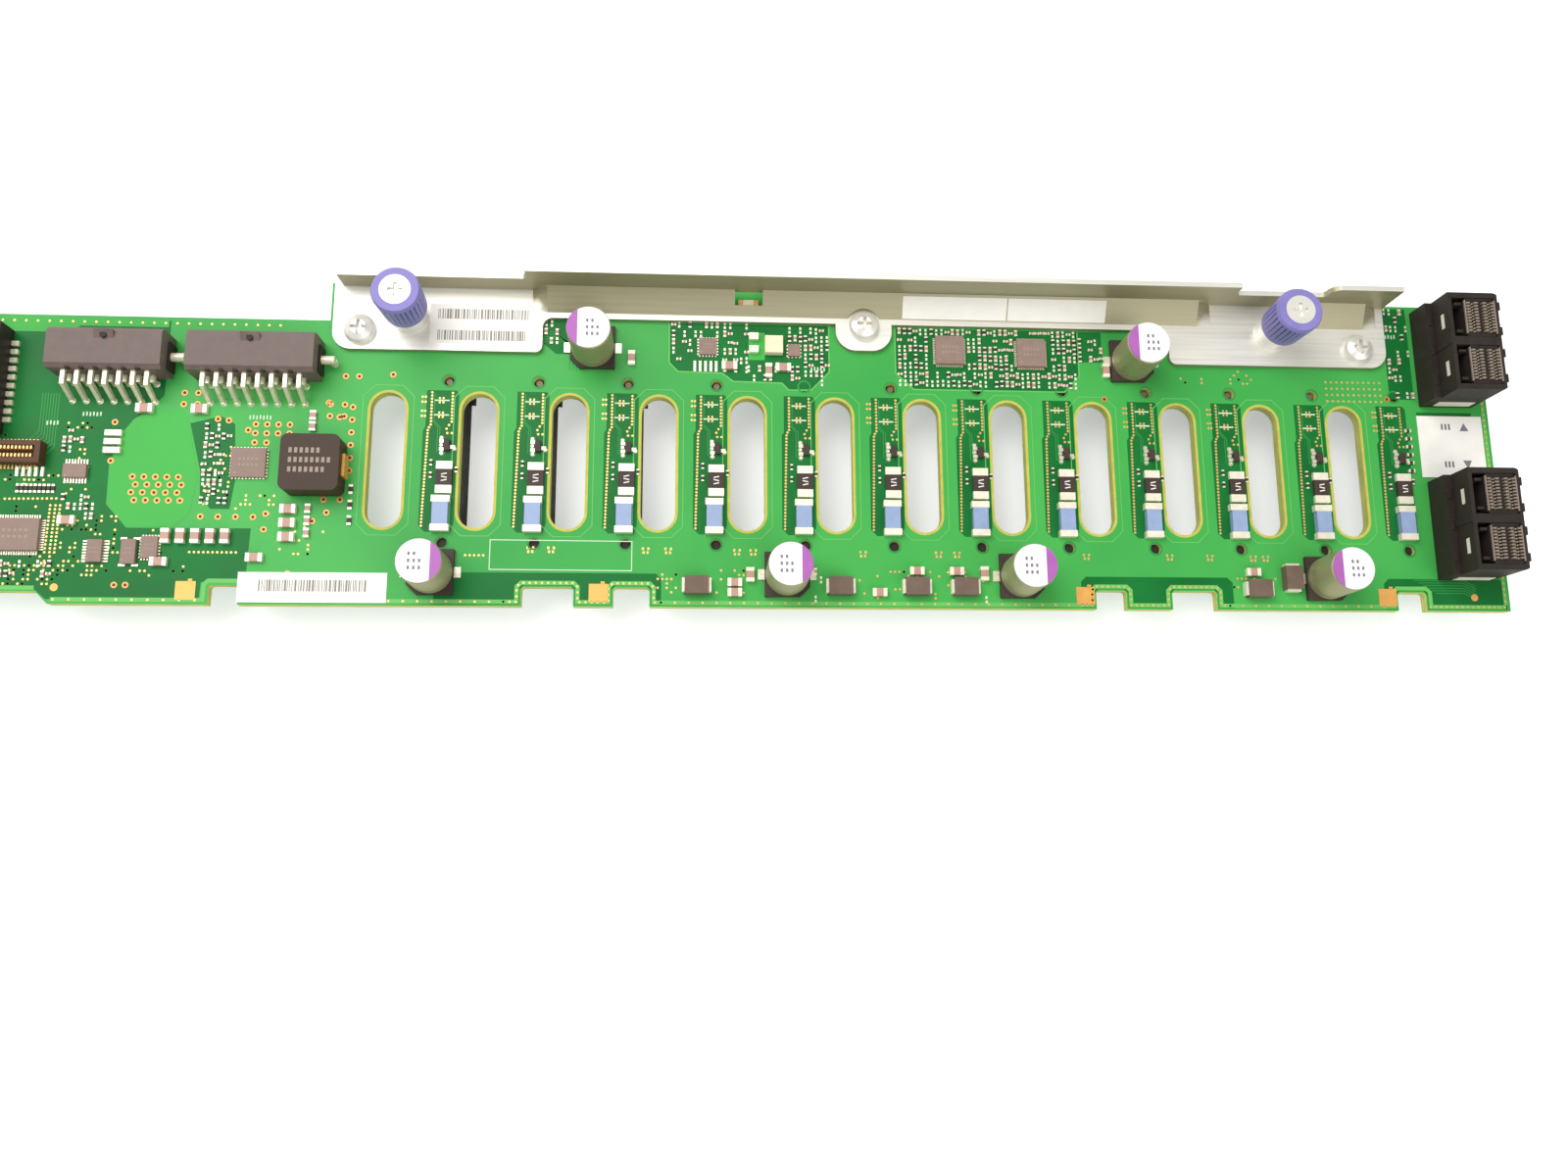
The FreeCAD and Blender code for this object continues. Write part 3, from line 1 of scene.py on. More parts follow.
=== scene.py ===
"""Looks of the drive backplane board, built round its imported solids.

Lengths are written in millimetres in the part's own frame and become metres when a mesh is made.
"""

import logging
import math
from dataclasses import dataclass, field
from enum import Enum

import bpy
import numpy as np
from mathutils import Euler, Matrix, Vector


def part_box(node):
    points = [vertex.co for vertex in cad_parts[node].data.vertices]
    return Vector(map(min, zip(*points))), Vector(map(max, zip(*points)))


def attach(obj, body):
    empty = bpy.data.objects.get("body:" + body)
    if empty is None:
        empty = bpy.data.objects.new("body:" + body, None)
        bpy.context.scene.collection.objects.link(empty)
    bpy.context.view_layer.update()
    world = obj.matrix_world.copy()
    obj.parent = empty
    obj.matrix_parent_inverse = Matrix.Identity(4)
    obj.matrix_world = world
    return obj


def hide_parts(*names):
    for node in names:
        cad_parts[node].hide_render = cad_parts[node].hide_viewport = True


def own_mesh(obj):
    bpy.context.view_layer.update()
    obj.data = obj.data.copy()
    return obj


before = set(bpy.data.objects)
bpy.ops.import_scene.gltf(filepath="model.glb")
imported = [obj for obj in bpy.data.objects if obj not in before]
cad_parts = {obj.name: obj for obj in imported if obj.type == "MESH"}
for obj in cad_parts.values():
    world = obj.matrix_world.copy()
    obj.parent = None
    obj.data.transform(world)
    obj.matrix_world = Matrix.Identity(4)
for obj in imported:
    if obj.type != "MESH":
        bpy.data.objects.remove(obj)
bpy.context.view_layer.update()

log = logging.getLogger("backplane")
MM = 0.001
ROOT = "backplane"
SINK = 0.02  # how far artwork reaches into the face that it lies on, in millimetres
NOISE_LOW, NOISE_HIGH = 0.3, 0.7  # the middle range of a noise, which a ramp or span uses
MASK_GLOSS = 0.15  # specular level of solder mask
BROWN_GLOSS = 0.25  # specular level of black and brown mouldings


# ---------------------------------------------------------------- finishes


def linear(colour: tuple[float, float, float]) -> tuple[float, float, float, float]:
    """Turn a screen colour from 0 to 1 into linear light.

    Args:
        colour: red, green and blue as they look on a screen.

    Returns:
        The same colour in linear light, with alpha 1.
    """
    tone = np.asarray(colour, dtype=float)
    light = np.where(tone <= 0.04045, tone / 12.92, ((tone + 0.055) / 1.055) ** 2.4)
    return (float(light[0]), float(light[1]), float(light[2]), 1.0)


class Nodes:
    """Short hand for one material's node tree."""

    def __init__(self, name: str) -> None:
        """Start an empty material with its shader and output."""
        self.material = bpy.data.materials.new(name)
        self.material.use_nodes = True
        self.tree = self.material.node_tree
        self.tree.nodes.clear()
        self.shader = self.add("ShaderNodeBsdfPrincipled")
        output = self.add("ShaderNodeOutputMaterial")
        self.link(self.shader, "BSDF", output, "Surface")
        self.place = self.add("ShaderNodeTexCoord")

    def add(self, kind: str, **values: object) -> bpy.types.Node:
        """Add a node and set its fields and sockets.

        Args:
            kind: Blender's name of the node type.
            values: fields of the node, or names of its sockets.

        Returns:
            The new node.
        """
        node = self.tree.nodes.new(kind)
        for key, value in values.items():
            if hasattr(node, key):
                setattr(node, key, value)
            else:
                node.inputs[key.replace("_", " ")].default_value = value
        return node

    def link(self, source: bpy.types.Node, output: str, target: bpy.types.Node,
             socket: str | int) -> None:
        """Join an output to an input."""
        self.tree.links.new(source.outputs[output], target.inputs[socket])

    def noise(self, scale: float, detail: float = 3.0,
              stretch: tuple[float, float, float] = (1.0, 1.0, 1.0)) -> bpy.types.Node:
        """Add a noise read in object coordinates.

        Args:
            scale: cells per metre.
            detail: octaves of the noise.
            stretch: how much finer the cells are along each axis.

        Returns:
            The noise node.
        """
        mapping = self.add("ShaderNodeMapping", Scale=stretch)
        self.link(self.place, "Object", mapping, "Vector")
        noise = self.add("ShaderNodeTexNoise", Scale=scale, Detail=detail)
        self.link(mapping, "Vector", noise, "Vector")
        return noise

    def ramp(self, source: bpy.types.Node, output: str,
             stops: list[tuple[float, tuple[float, float, float, float]]]) -> bpy.types.Node:
        """Map a value to colours at the given stops."""
        ramp = self.add("ShaderNodeValToRGB")
        elements = ramp.color_ramp.elements
        elements[0].position, elements[0].color = stops[0]
        elements[1].position, elements[1].color = stops[-1]
        for position, colour in stops[1:-1]:
            elements.new(position).color = colour
        self.link(source, output, ramp, "Fac")
        return ramp

    def span(self, source: bpy.types.Node, output: str, low: float, high: float,
             first: float = NOISE_LOW, last: float = NOISE_HIGH) -> bpy.types.Node:
        """Map a noise's middle range to low..high."""
        node = self.add("ShaderNodeMapRange", From_Min=first, From_Max=last,
                        To_Min=low, To_Max=high)
        self.link(source, output, node, "Value")
        return node

    def bump(self, source: bpy.types.Node, output: str, strength: float,
             distance: float = 0.0001) -> None:
        """Feed a height into the shader's normal."""
        node = self.add("ShaderNodeBump", Strength=strength, Distance=distance)
        self.link(source, output, node, "Height")
        self.link(node, "Normal", self.shader, "Normal")


SHELF: dict["Finish", bpy.types.Material] = {}


@dataclass(frozen=True)
class Finish:
    """A plain finish: one colour that wanders a little, with a faint grain."""

    name: str
    colour: tuple[float, float, float]
    roughness: float = 0.5
    metallic: float = 0.0
    wander: float = 0.08
    cells: float = 400.0
    grain: float = 0.0
    grain_cells: float = 4000.0
    stretch: tuple[float, float, float] = (1.0, 1.0, 1.0)
    gloss: float = 0.5
    uneven: float = 0.07

    def build(self) -> bpy.types.Material:
        """Make the material, or return the one made before."""
        if self in SHELF:
            return SHELF[self]
        nodes = Nodes(self.name)
        SHELF[self] = nodes.material
        base = np.asarray(linear(self.colour)[:3])
        dark = tuple(base * (1 - self.wander)) + (1.0,)
        pale = tuple(np.minimum(base * (1 + self.wander), 1.0)) + (1.0,)
        cloud = nodes.noise(self.cells, 4.0, self.stretch)
        ramp = nodes.ramp(cloud, "Fac", [(NOISE_LOW, dark), (NOISE_HIGH, pale)])
        nodes.link(ramp, "Color", nodes.shader, "Base Color")
        low = max(self.roughness - self.uneven, 0.02)
        rough = nodes.span(cloud, "Fac", low, min(self.roughness + self.uneven, 1.0))
        nodes.link(rough, "Result", nodes.shader, "Roughness")
        nodes.shader.inputs["Metallic"].default_value = self.metallic
        nodes.shader.inputs["Specular IOR Level"].default_value = self.gloss
        if self.grain > 0:
            fine = nodes.noise(self.grain_cells, 2.0, self.stretch)
            nodes.bump(fine, "Fac", self.grain)
        return nodes.material


@dataclass(frozen=True)
class MaskedLaminate:
    """Green solder mask on the two faces of the board and bare laminate on its cut edges."""

    name: str = "masked_laminate"
    pour: tuple[float, float, float] = (0.30, 0.70, 0.33)
    shade: tuple[float, float, float] = (0.23, 0.63, 0.29)
    edge: tuple[float, float, float] = (0.70, 0.72, 0.42)

    def build(self) -> bpy.types.Material:
        """Make the material: the face's normal picks mask or bare edge."""
        nodes = Nodes(self.name)
        cloud = nodes.noise(22.0, 5.0)
        mask = nodes.ramp(cloud, "Fac", [(NOISE_LOW, linear(self.shade)),
                                         (NOISE_HIGH, linear(self.pour))])
        layers = nodes.noise(900.0, 2.0, (0.15, 0.15, 4.0))
        pale = tuple(min(c * 1.2, 1.0) for c in self.edge)
        cut = nodes.ramp(layers, "Fac", [(0.35, linear(self.edge)), (0.65, linear(pale))])
        facing = nodes.add("ShaderNodeNewGeometry")
        parts = nodes.add("ShaderNodeSeparateXYZ")
        nodes.link(facing, "Normal", parts, "Vector")
        upright = nodes.add("ShaderNodeMath", operation="ABSOLUTE")
        nodes.link(parts, "Z", upright, 0)
        flat = nodes.add("ShaderNodeMath", operation="GREATER_THAN")
        nodes.link(upright, "Value", flat, 0)
        flat.inputs[1].default_value = 0.5
        blend = nodes.add("ShaderNodeMix", data_type="RGBA")
        nodes.link(flat, "Value", blend, 0)
        nodes.link(cut, "Color", blend, 6)
        nodes.link(mask, "Color", blend, 7)
        nodes.tree.links.new(blend.outputs[2], nodes.shader.inputs["Base Color"])
        rough = nodes.span(flat, "Value", 0.75, 0.30, 0.0, 1.0)
        nodes.link(rough, "Result", nodes.shader, "Roughness")
        weave = nodes.noise(2600.0, 2.0)
        nodes.bump(weave, "Fac", 0.06)
        nodes.shader.inputs["Specular IOR Level"].default_value = MASK_GLOSS
        return nodes.material


MASK = MaskedLaminate()
POUR = Finish("mask_over_copper", (0.27, 0.69, 0.29), 0.34, wander=0.10, cells=30.0,
              grain=0.05, gloss=MASK_GLOSS)
POUR_PALE = Finish("mask_over_rail", (0.42, 0.75, 0.38), 0.34, wander=0.06, cells=60.0,
                   grain=0.05, gloss=MASK_GLOSS)
DEEP = Finish("mask_over_laminate", (0.08, 0.44, 0.19), 0.38, wander=0.16, cells=70.0,
              grain=0.08, gloss=MASK_GLOSS)
TRACE = Finish("mask_over_trace", (0.22, 0.58, 0.28), 0.34, wander=0.08, cells=80.0,
               gloss=MASK_GLOSS)
BARE = Finish("bare_laminate", (0.76, 0.74, 0.32), 0.7, wander=0.10, cells=500.0, grain=0.1)
GOLD = Finish("plated_gold", (0.93, 0.76, 0.48), 0.36, 0.45, wander=0.10, cells=900.0, grain=0.1)
COPPER = Finish("open_copper_pad", (0.93, 0.69, 0.36), 0.45, 0.30, wander=0.06, cells=500.0,
                grain=0.1)
RING = Finish("via_ring_copper", (0.86, 0.60, 0.34), 0.40, 0.45, wander=0.10, cells=900.0)
# via bores: the plated barrel's own copper, darkened as painted shade inside the open hole
BORE_PAINTED_SHADE = Finish("via_bore", (0.36, 0.15, 0.06), 0.6, 0.2, wander=0.15)
SILK = Finish("legend_ink", (0.80, 0.90, 0.78), 0.7, wander=0.04, grain=0.1)
SOLDER = Finish("solder", (0.93, 0.91, 0.82), 0.32, 0.55, wander=0.08, cells=1200.0, grain=0.15)
CAP_END = Finish("plated_chip_end", (0.96, 0.94, 0.85), 0.38, 0.25, wander=0.06, cells=900.0,
                 grain=0.1)
TIN = Finish("tinned_lead", (0.96, 0.93, 0.82), 0.32, 0.40, wander=0.08, cells=700.0, grain=0.1)
STEEL = Finish("zinc_plated_steel", (0.95, 0.94, 0.91), 0.34, 0.45, wander=0.06, cells=300.0,
               grain=0.12)
LOCK = Finish("dull_board_lock", (0.50, 0.44, 0.36), 0.5, 0.3, wander=0.12, cells=600.0, grain=0.1)
WIRE = Finish("spring_wire", (0.66, 0.65, 0.63), 0.35, 0.9, grain=0.1)
PURPLE = Finish("knob_moulding", (0.53, 0.50, 0.76), 0.42, wander=0.07, cells=250.0, grain=0.12,
                gloss=0.3)
NYLON = Finish("connector_nylon", (0.20, 0.175, 0.16), 0.50, wander=0.14, cells=500.0, grain=0.25,
               gloss=0.2)
# the power headers' brown nylon, lightened all over as a painted sheen for the light that falls on
# their roofs
HEADER_NYLON_PAINTED_SHEEN = Finish("header_nylon", (0.45, 0.39, 0.37), 0.48, wander=0.12, cells=350.0,
                    grain=0.25, gloss=BROWN_GLOSS)
COMB = Finish("comb_nylon", (0.58, 0.52, 0.47), 0.45, wander=0.10, cells=600.0, grain=0.2,
              gloss=0.3)
RESIN = Finish("moulding_resin", (0.58, 0.49, 0.45), 0.52, wander=0.08, cells=500.0, grain=0.3,
               gloss=BROWN_GLOSS)
RESIN_DARK = Finish("dark_resin", (0.27, 0.22, 0.20), 0.50, wander=0.10, cells=500.0, grain=0.3,
                    gloss=BROWN_GLOSS)
MOUTH = Finish("brown_moulding", (0.36, 0.25, 0.18), 0.50, wander=0.12, cells=400.0, grain=0.25,
               gloss=0.2)
FERRITE = Finish("moulded_ferrite", (0.27, 0.21, 0.17), 0.45, wander=0.12, cells=450.0, grain=0.25,
                 gloss=0.2)
BEAD = Finish("bead_resin", (0.45, 0.38, 0.33), 0.5, wander=0.10, cells=450.0, grain=0.25,
              gloss=BROWN_GLOSS)
TAN = Finish("tan_ceramic", (0.74, 0.58, 0.51), 0.45, wander=0.08, cells=800.0, grain=0.1)
LAVENDER = Finish("lavender_film", (0.58, 0.66, 0.80), 0.42, wander=0.06, cells=600.0, grain=0.1)
CREAM = Finish("cream_lid", (0.95, 0.90, 0.76), 0.5, wander=0.06, cells=500.0)
CAN = Finish("anodised_can", (0.66, 0.65, 0.50), 0.46, 0.45, wander=0.08, cells=200.0,
             grain=0.08)
CAN_TOP = Finish("can_print_white", (0.97, 0.96, 0.96), 0.5, wander=0.03, cells=500.0)
VIOLET = Finish("can_print_violet", (0.68, 0.38, 0.70), 0.5, wander=0.06, cells=500.0)
INK = Finish("grey_ink", (0.50, 0.47, 0.52), 0.6, wander=0.08)
CHIP_INK = Finish("chip_ink", (0.62, 0.55, 0.50), 0.6, wander=0.08)
BLACK_INK = Finish("black_ink", (0.55, 0.52, 0.50), 0.6, wander=0.08)
PAPER = Finish("label_paper", (0.97, 0.96, 0.93), 0.6, wander=0.03, cells=300.0, grain=0.05)
PALE = Finish("pale_nylon", (0.92, 0.90, 0.84), 0.5, wander=0.06, cells=400.0, grain=0.15)


@dataclass(frozen=True)
class BrushedSheet:
    """Zinc-plated sheet: pale where it lies flat, as a painted highlight, and greyer and warmer
    where it slopes or stands, as painted shade over its own warm grey.
    """

    name: str = "zinc_sheet_painted_highlight_and_shade"
    # flat is a painted highlight tone for faces that lie flat; upright is the sheet's own warm
    # grey darkened as painted shade for faces that slope or stand; steep and level set where one
    # passes into the other
    flat: tuple[float, float, float] = (0.95, 0.94, 0.90)
    upright: tuple[float, float, float] = (0.66, 0.64, 0.52)
    steep: float = 0.90
    level: float = 0.995
    metallic: float = 0.45

    def build(self) -> bpy.types.Material:
        """Make the material: the face's upward share blends the painted highlight tone and the
        painted shade tone over a brushed grain.
        """
        nodes = Nodes(self.name)
        brush = nodes.noise(1500.0, 3.0, (0.03, 1.0, 1.0))
        facing = nodes.add("ShaderNodeNewGeometry")
        parts = nodes.add("ShaderNodeSeparateXYZ")
        nodes.link(facing, "Normal", parts, "Vector")
        level = nodes.span(parts, "Z", 0.0, 1.0, self.steep, self.level)
        blend = nodes.add("ShaderNodeMix", data_type="RGBA")
        nodes.link(level, "Result", blend, 0)
        for socket, tone in ((6, self.upright), (7, self.flat)):
            base = np.asarray(linear(tone)[:3])
            dark = tuple(base * 0.92) + (1.0,)
            pale = tuple(np.minimum(base * 1.06, 1.0)) + (1.0,)
            streak = nodes.ramp(brush, "Fac", [(NOISE_LOW, dark), (NOISE_HIGH, pale)])
            nodes.link(streak, "Color", blend, socket)
        nodes.tree.links.new(blend.outputs[2], nodes.shader.inputs["Base Color"])
        nodes.shader.inputs["Metallic"].default_value = self.metallic
        rough = nodes.span(brush, "Fac", 0.34, 0.48)
        nodes.link(rough, "Result", nodes.shader, "Roughness")
        nodes.bump(brush, "Fac", 0.10)
        return nodes.material


# the bracket's sheet, with a painted highlight on its flat faces and painted shade on its sloping
# and standing faces
ZINC_WITH_PAINTED_LIGHT = BrushedSheet()

CAD_FINISHES: dict[str, Finish | BrushedSheet] = {
    "bracket": ZINC_WITH_PAINTED_LIGHT, "bracket_screws": STEEL, "bracket_nuts": STEEL,
    "thumbscrew_ferrules": STEEL, "left_captive_screw": STEEL, "right_captive_screw": STEEL,
    "left_spring_washer": STEEL, "right_spring_washer": STEEL, "left_spring": WIRE,
    "right_spring": WIRE, "left_knob": PURPLE, "right_knob": PURPLE, "capacitor_cans": CAN,
    "capacitor_bases": RESIN_DARK, "capacitor_leads": SOLDER, "power_header_left": HEADER_NYLON_PAINTED_SHEEN,
    "power_header_right": HEADER_NYLON_PAINTED_SHEEN, "power_pins_left": TIN, "power_pins_right": TIN,
    "power_header_pegs": TIN, "data_connector_front": NYLON, "data_connector_rear": NYLON,
    "data_contact_blocks": NYLON, "drive_receptacles": NYLON, "receptacle_board_locks": LOCK,
    "sense_resistors": RESIN_DARK, "sense_resistor_ends": CAP_END, "bay_capacitors": LAVENDER,
    "bay_capacitor_ends": CAP_END, "bay_switches": RESIN_DARK, "power_inductor": FERRITE,
    "power_inductor_terminals": COPPER, "small_inductors": BEAD,
    "small_inductor_ends": CAP_END, "controllers": RESIN, "regulators": RESIN,
    "logic_chips": RESIN, "oscillator": CREAM, "signal_header": NYLON,
    "signal_header_pins": GOLD, "signal_header_leads": TIN, "mezzanine_connector": MOUTH,
    "ceramic_capacitors": TAN, "labels": PAPER,
}


# ---------------------------------------------------------------- meshes


class Mould:
    """Gathers closed shells in millimetres and makes one piece of them."""

    def __init__(self) -> None:
        """Start with nothing in the mould."""
        self.points: list[np.ndarray] = []
        self.faces: list[list[int]] = []
        self.count = 0

    def shell(self, points: np.ndarray, faces: list[list[int]]) -> None:
        """Add one set of points with faces that number them from 0."""
        self.points.append(np.asarray(points, dtype=float).reshape(-1, 3))
        self.faces.extend([[i + self.count for i in face] for face in faces])
        self.count += len(self.points[-1])

    def boxes(self, centres: np.ndarray, sizes: np.ndarray, turn: float = 0.0) -> None:
        """Add boxes: eight corners at plus and minus half of each size.

        Args:
            centres: middle of each box, one row each.
            sizes: the three sizes, one row each or one row for all.
            turn: angle in degrees by which each box is turned about its own upright axis.
        """
        centres = np.atleast_2d(np.asarray(centres, dtype=float))
        sizes = np.broadcast_to(np.asarray(sizes, dtype=float), centres.shape)
        signs = np.array([(x, y, z) for z in (-1, 1) for x, y in
                          ((-1, -1), (1, -1), (1, 1), (-1, 1))], dtype=float)
        local = signs[None] * sizes[:, None] / 2
        a = math.radians(turn)
        spin = np.array([[math.cos(a), -math.sin(a), 0], [math.sin(a), math.cos(a), 0],
                         [0, 0, 1]])
        points = local @ spin.T + centres[:, None]
        sides = np.array([(3, 2, 1, 0), (4, 5, 6, 7), (0, 1, 5, 4), (1, 2, 6, 5),
                          (2, 3, 7, 6), (3, 0, 4, 7)])
        steps = 8 * np.arange(len(centres))[:, None, None]
        self.shell(points, (sides[None] + steps).reshape(-1, 4).tolist())

    def studs(self, centres: np.ndarray, radius: float, low: float, high: float,
              sides: int = 8, top: float = 1.0) -> None:
        """Add upright prisms: a ring of points at the foot and one at the top.

        Args:
            centres: place of each stud in plan.
            radius: radius at the foot.
            low: height of the foot.
            high: height of the top.
            sides: number of sides.
            top: radius at the top, as a share of the one at the foot.
        """
        centres = np.atleast_2d(np.asarray(centres, dtype=float))
        if len(centres) == 0:
            return
        angle = np.arange(sides) * 2 * np.pi / sides + np.pi / sides
        circle = np.stack([np.cos(angle), np.sin(angle)], axis=1) * radius
        foot = np.concatenate([circle, np.full((sides, 1), low)], axis=1)
        head = np.concatenate([circle * top, np.full((sides, 1), high)], axis=1)
        one = np.concatenate([foot, head])
        spots = np.concatenate([centres[:, :2], np.zeros((len(centres), 1))], axis=1)
        points = one[None] + spots[:, None]
        i = np.arange(sides)
        j = (i + 1) % sides
        walls = np.stack([i, j, j + sides, i + sides], axis=1).tolist()
        caps = [i[::-1].tolist(), (i + sides).tolist()]
        for number in range(len(centres)):
            step = number * 2 * sides + self.count
            self.faces.extend([[k + step for k in face] for face in walls + caps])
        self.points.append(points.reshape(-1, 3))
        self.count += points.shape[0] * points.shape[1]

    def rings(self, centres: np.ndarray, outer: float, inner: float, low: float, high: float,
              sides: int = 12) -> None:
        """Add flat rings: four circles of points joined into a closed square section."""
        centres = np.atleast_2d(np.asarray(centres, dtype=float))
        angle = np.arange(sides) * 2 * np.pi / sides
        circle = np.stack([np.cos(angle), np.sin(angle)], axis=1)
        loops = [(outer, low), (outer, high), (inner, high), (inner, low)]
        one = np.concatenate([np.concatenate([circle * r, np.full((sides, 1), z)], axis=1)
                              for r, z in loops])
        i = np.arange(sides)
        j = (i + 1) % sides
        faces = []
        for k in range(4):
            a, b = k * sides, (k + 1) % 4 * sides
            faces += np.stack([i + a, j + a, j + b, i + b], axis=1).tolist()
        for x, y in centres[:, :2]:
            self.shell(one + (x, y, 0), faces)

    def prism(self, outline: np.ndarray, low: float, high: float) -> None:
        """Add an upright prism over a closed outline that runs anticlockwise."""
        flat = np.asarray(outline, dtype=float)
        x, y = flat[:, 0], flat[:, 1]
        if np.sum(x * np.roll(y, -1) - np.roll(x, -1) * y) < 0:
            flat = flat[::-1]
        n = len(flat)
        points = np.concatenate([np.concatenate([flat, np.full((n, 1), z)], axis=1)
                                 for z in (low, high)])
        i = np.arange(n)
        j = (i + 1) % n
        walls = np.stack([i, j, j + n, i + n], axis=1).tolist()
        self.shell(points, walls + [i[::-1].tolist(), (i + n).tolist()])

    def ribbon(self, path: np.ndarray, width: float, low: float, high: float,
               closed: bool = False) -> None:
        """Add a flat strip whose sides lie half a width off a path, mitred at its corners."""
        path = np.asarray(path, dtype=float)
        ahead = np.roll(path, -1, axis=0) - path
        behind = path - np.roll(path, 1, axis=0)
        if not closed:
            ahead[-1] = behind[-1]
            behind[0] = ahead[0]
        ahead /= np.linalg.norm(ahead, axis=1)[:, None]
        behind /= np.linalg.norm(behind, axis=1)[:, None]
        mid = ahead + behind
        mid /= np.maximum(np.linalg.norm(mid, axis=1), 1e-6)[:, None]
        reach = width / 2 / np.maximum(np.sum(mid * ahead, axis=1), 0.4)
        side = np.stack([-mid[:, 1], mid[:, 0]], axis=1) * reach[:, None]
        n = len(path)
        rails = [path + side, path - side]
        points = np.concatenate([np.concatenate([rail, np.full((n, 1), z)], axis=1)
                                 for z, rail in ((low, rails[0]), (low, rails[1]),
                                                 (high, rails[1]), (high, rails[0]))])
        last = n if closed else n - 1
        i = np.arange(last)
        j = (i + 1) % n
        faces = []
        for k in range(4):
            a, b = k * n, (k + 1) % 4 * n
            faces += np.stack([i + a, j + a, j + b, i + b], axis=1)[:, ::-1].tolist()
        if not closed:
            faces += [[0, n, 2 * n, 3 * n], [4 * n - 1, 3 * n - 1, 2 * n - 1, n - 1]]
        self.shell(points, faces)

    def lathe(self, profile: np.ndarray, centre: tuple[float, float], sides: int = 48) -> None:
        """Add a closed turning: each (radius, height) of the profile carried round an axis."""
        profile = np.asarray(profile, dtype=float)
        angle = np.arange(sides) * 2 * np.pi / sides
        radius, height = profile[:, 0], profile[:, 1]
        points = np.stack([radius[:, None] * np.cos(angle) + centre[0],
                           radius[:, None] * np.sin(angle) + centre[1],
                           np.repeat(height[:, None], sides, axis=1)], axis=2)
        i = np.arange(sides)
        j = (i + 1) % sides
        faces = []
        for k in range(len(profile) - 1):
            a, b = k * sides, (k + 1) * sides
            faces += np.stack([i + a, j + a, j + b, i + b], axis=1).tolist()
        faces += [i[::-1].tolist(), (i + (len(profile) - 1) * sides).tolist()]
        self.shell(points, faces)

    def coil(self, centre: np.ndarray, radius: float, wire: float, low: float, high: float,
             turns: float, steps: int = 150, sides: int = 8) -> None:
        """Add a closed round wire that is carried along a helix.

        The path turns and climbs at an even rate. Each ring of points is a circle in the plane
        of the outward line and the upright line through its place on the path.

        Args:
            centre: place of the helix's axis in plan.
            radius: radius of the path.
            wire: radius of the wire.
            low: height of the path's start.
            high: height of its end.
            turns: number of turns.
            steps: number of rings.
            sides: points round each ring.
        """
        share = np.linspace(0.0, 1.0, steps)[:, None]
        turn = share * 2 * np.pi * turns
        around = np.arange(sides)[None] * 2 * np.pi / sides
        reach = radius + wire * np.cos(around)
        points = np.stack([centre[0] + reach * np.cos(turn), centre[1] + reach * np.sin(turn),
                           low + (high - low) * share + wire * np.sin(around)], axis=-1)
        i = np.arange(steps - 1)[:, None] * sides
        j = np.arange(sides)[None]
        k = (j + 1) % sides
        walls = np.stack([i + j, i + j + sides, i + k + sides, i + k], axis=-1).reshape(-1, 4)
        ring = np.arange(sides)
        caps = [ring.tolist(), (ring[::-1] + (steps - 1) * sides).tolist()]
        self.shell(points, walls.tolist() + caps)

    def cast(self, name: str, finish: Finish, slot: str, body: str = ROOT,
             bevel: float = 0.0, smooth: bool = False) -> bpy.types.Object:
        """Make the piece.

        Args:
            name: the piece's name.
            finish: its finish.
            slot: the record's material slot meant for the piece; not used.
            body: the body that it rides on.
            bevel: width of the rounding of its edges, if any.
            smooth: whether its faces shade smoothly.

        Returns:
            The finished object, at the origin.
        """
        mesh = bpy.data.meshes.new(name)
        points = np.concatenate(self.points) * MM
        mesh.from_pydata(points.tolist(), [], self.faces)
        mesh.update()
        piece = bpy.data.objects.new(name, mesh)
        bpy.context.scene.collection.objects.link(piece)
        mesh.materials.append(finish.build())
        if smooth:
            mesh.polygons.foreach_set("use_smooth", [True] * len(mesh.polygons))
        if bevel > 0:
            rounding = piece.modifiers.new("Rounding", "BEVEL")
            rounding.width = bevel * MM
            rounding.segments = 2
            rounding.limit_method = "ANGLE"
        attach(piece, body)
        log.info("%s: %d faces", name, len(mesh.polygons))
        return piece


def span(node: str) -> tuple[np.ndarray, np.ndarray]:
    """Lowest and highest corner of a CAD node in millimetres."""
    low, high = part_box(node)
    return np.asarray(low, dtype=float) / MM, np.asarray(high, dtype=float) / MM


def solid_boxes(node: str) -> list[tuple[np.ndarray, np.ndarray]]:
    """Boxes of the separate solids of a CAD node.

    Args:
        node: name of the CAD node.

    Returns:
        Lowest and highest corner of each solid in millimetres, from left to right.
    """
    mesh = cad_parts[node].data
    points = np.empty(len(mesh.vertices) * 3)
    mesh.vertices.foreach_get("co", points)
    spots, index = np.unique(np.round(points.reshape(-1, 3) / MM, 3), axis=0,
                             return_inverse=True)
    edges = np.empty(len(mesh.edges) * 2, dtype=int)
    mesh.edges.foreach_get("vertices", edges)
    edges = index.reshape(-1)[edges].reshape(-1, 2)
    mark = np.arange(len(spots))
    while True:
        least = np.minimum(mark[edges[:, 0]], mark[edges[:, 1]])
        before = mark.copy()
        np.minimum.at(mark, edges[:, 0], least)
        np.minimum.at(mark, edges[:, 1], least)
        if np.array_equal(before, mark):
            break
    return sorted(((spots[mark == m].min(axis=0), spots[mark == m].max(axis=0))
                   for m in np.unique(mark)), key=lambda box: (box[0][0], box[0][1]))


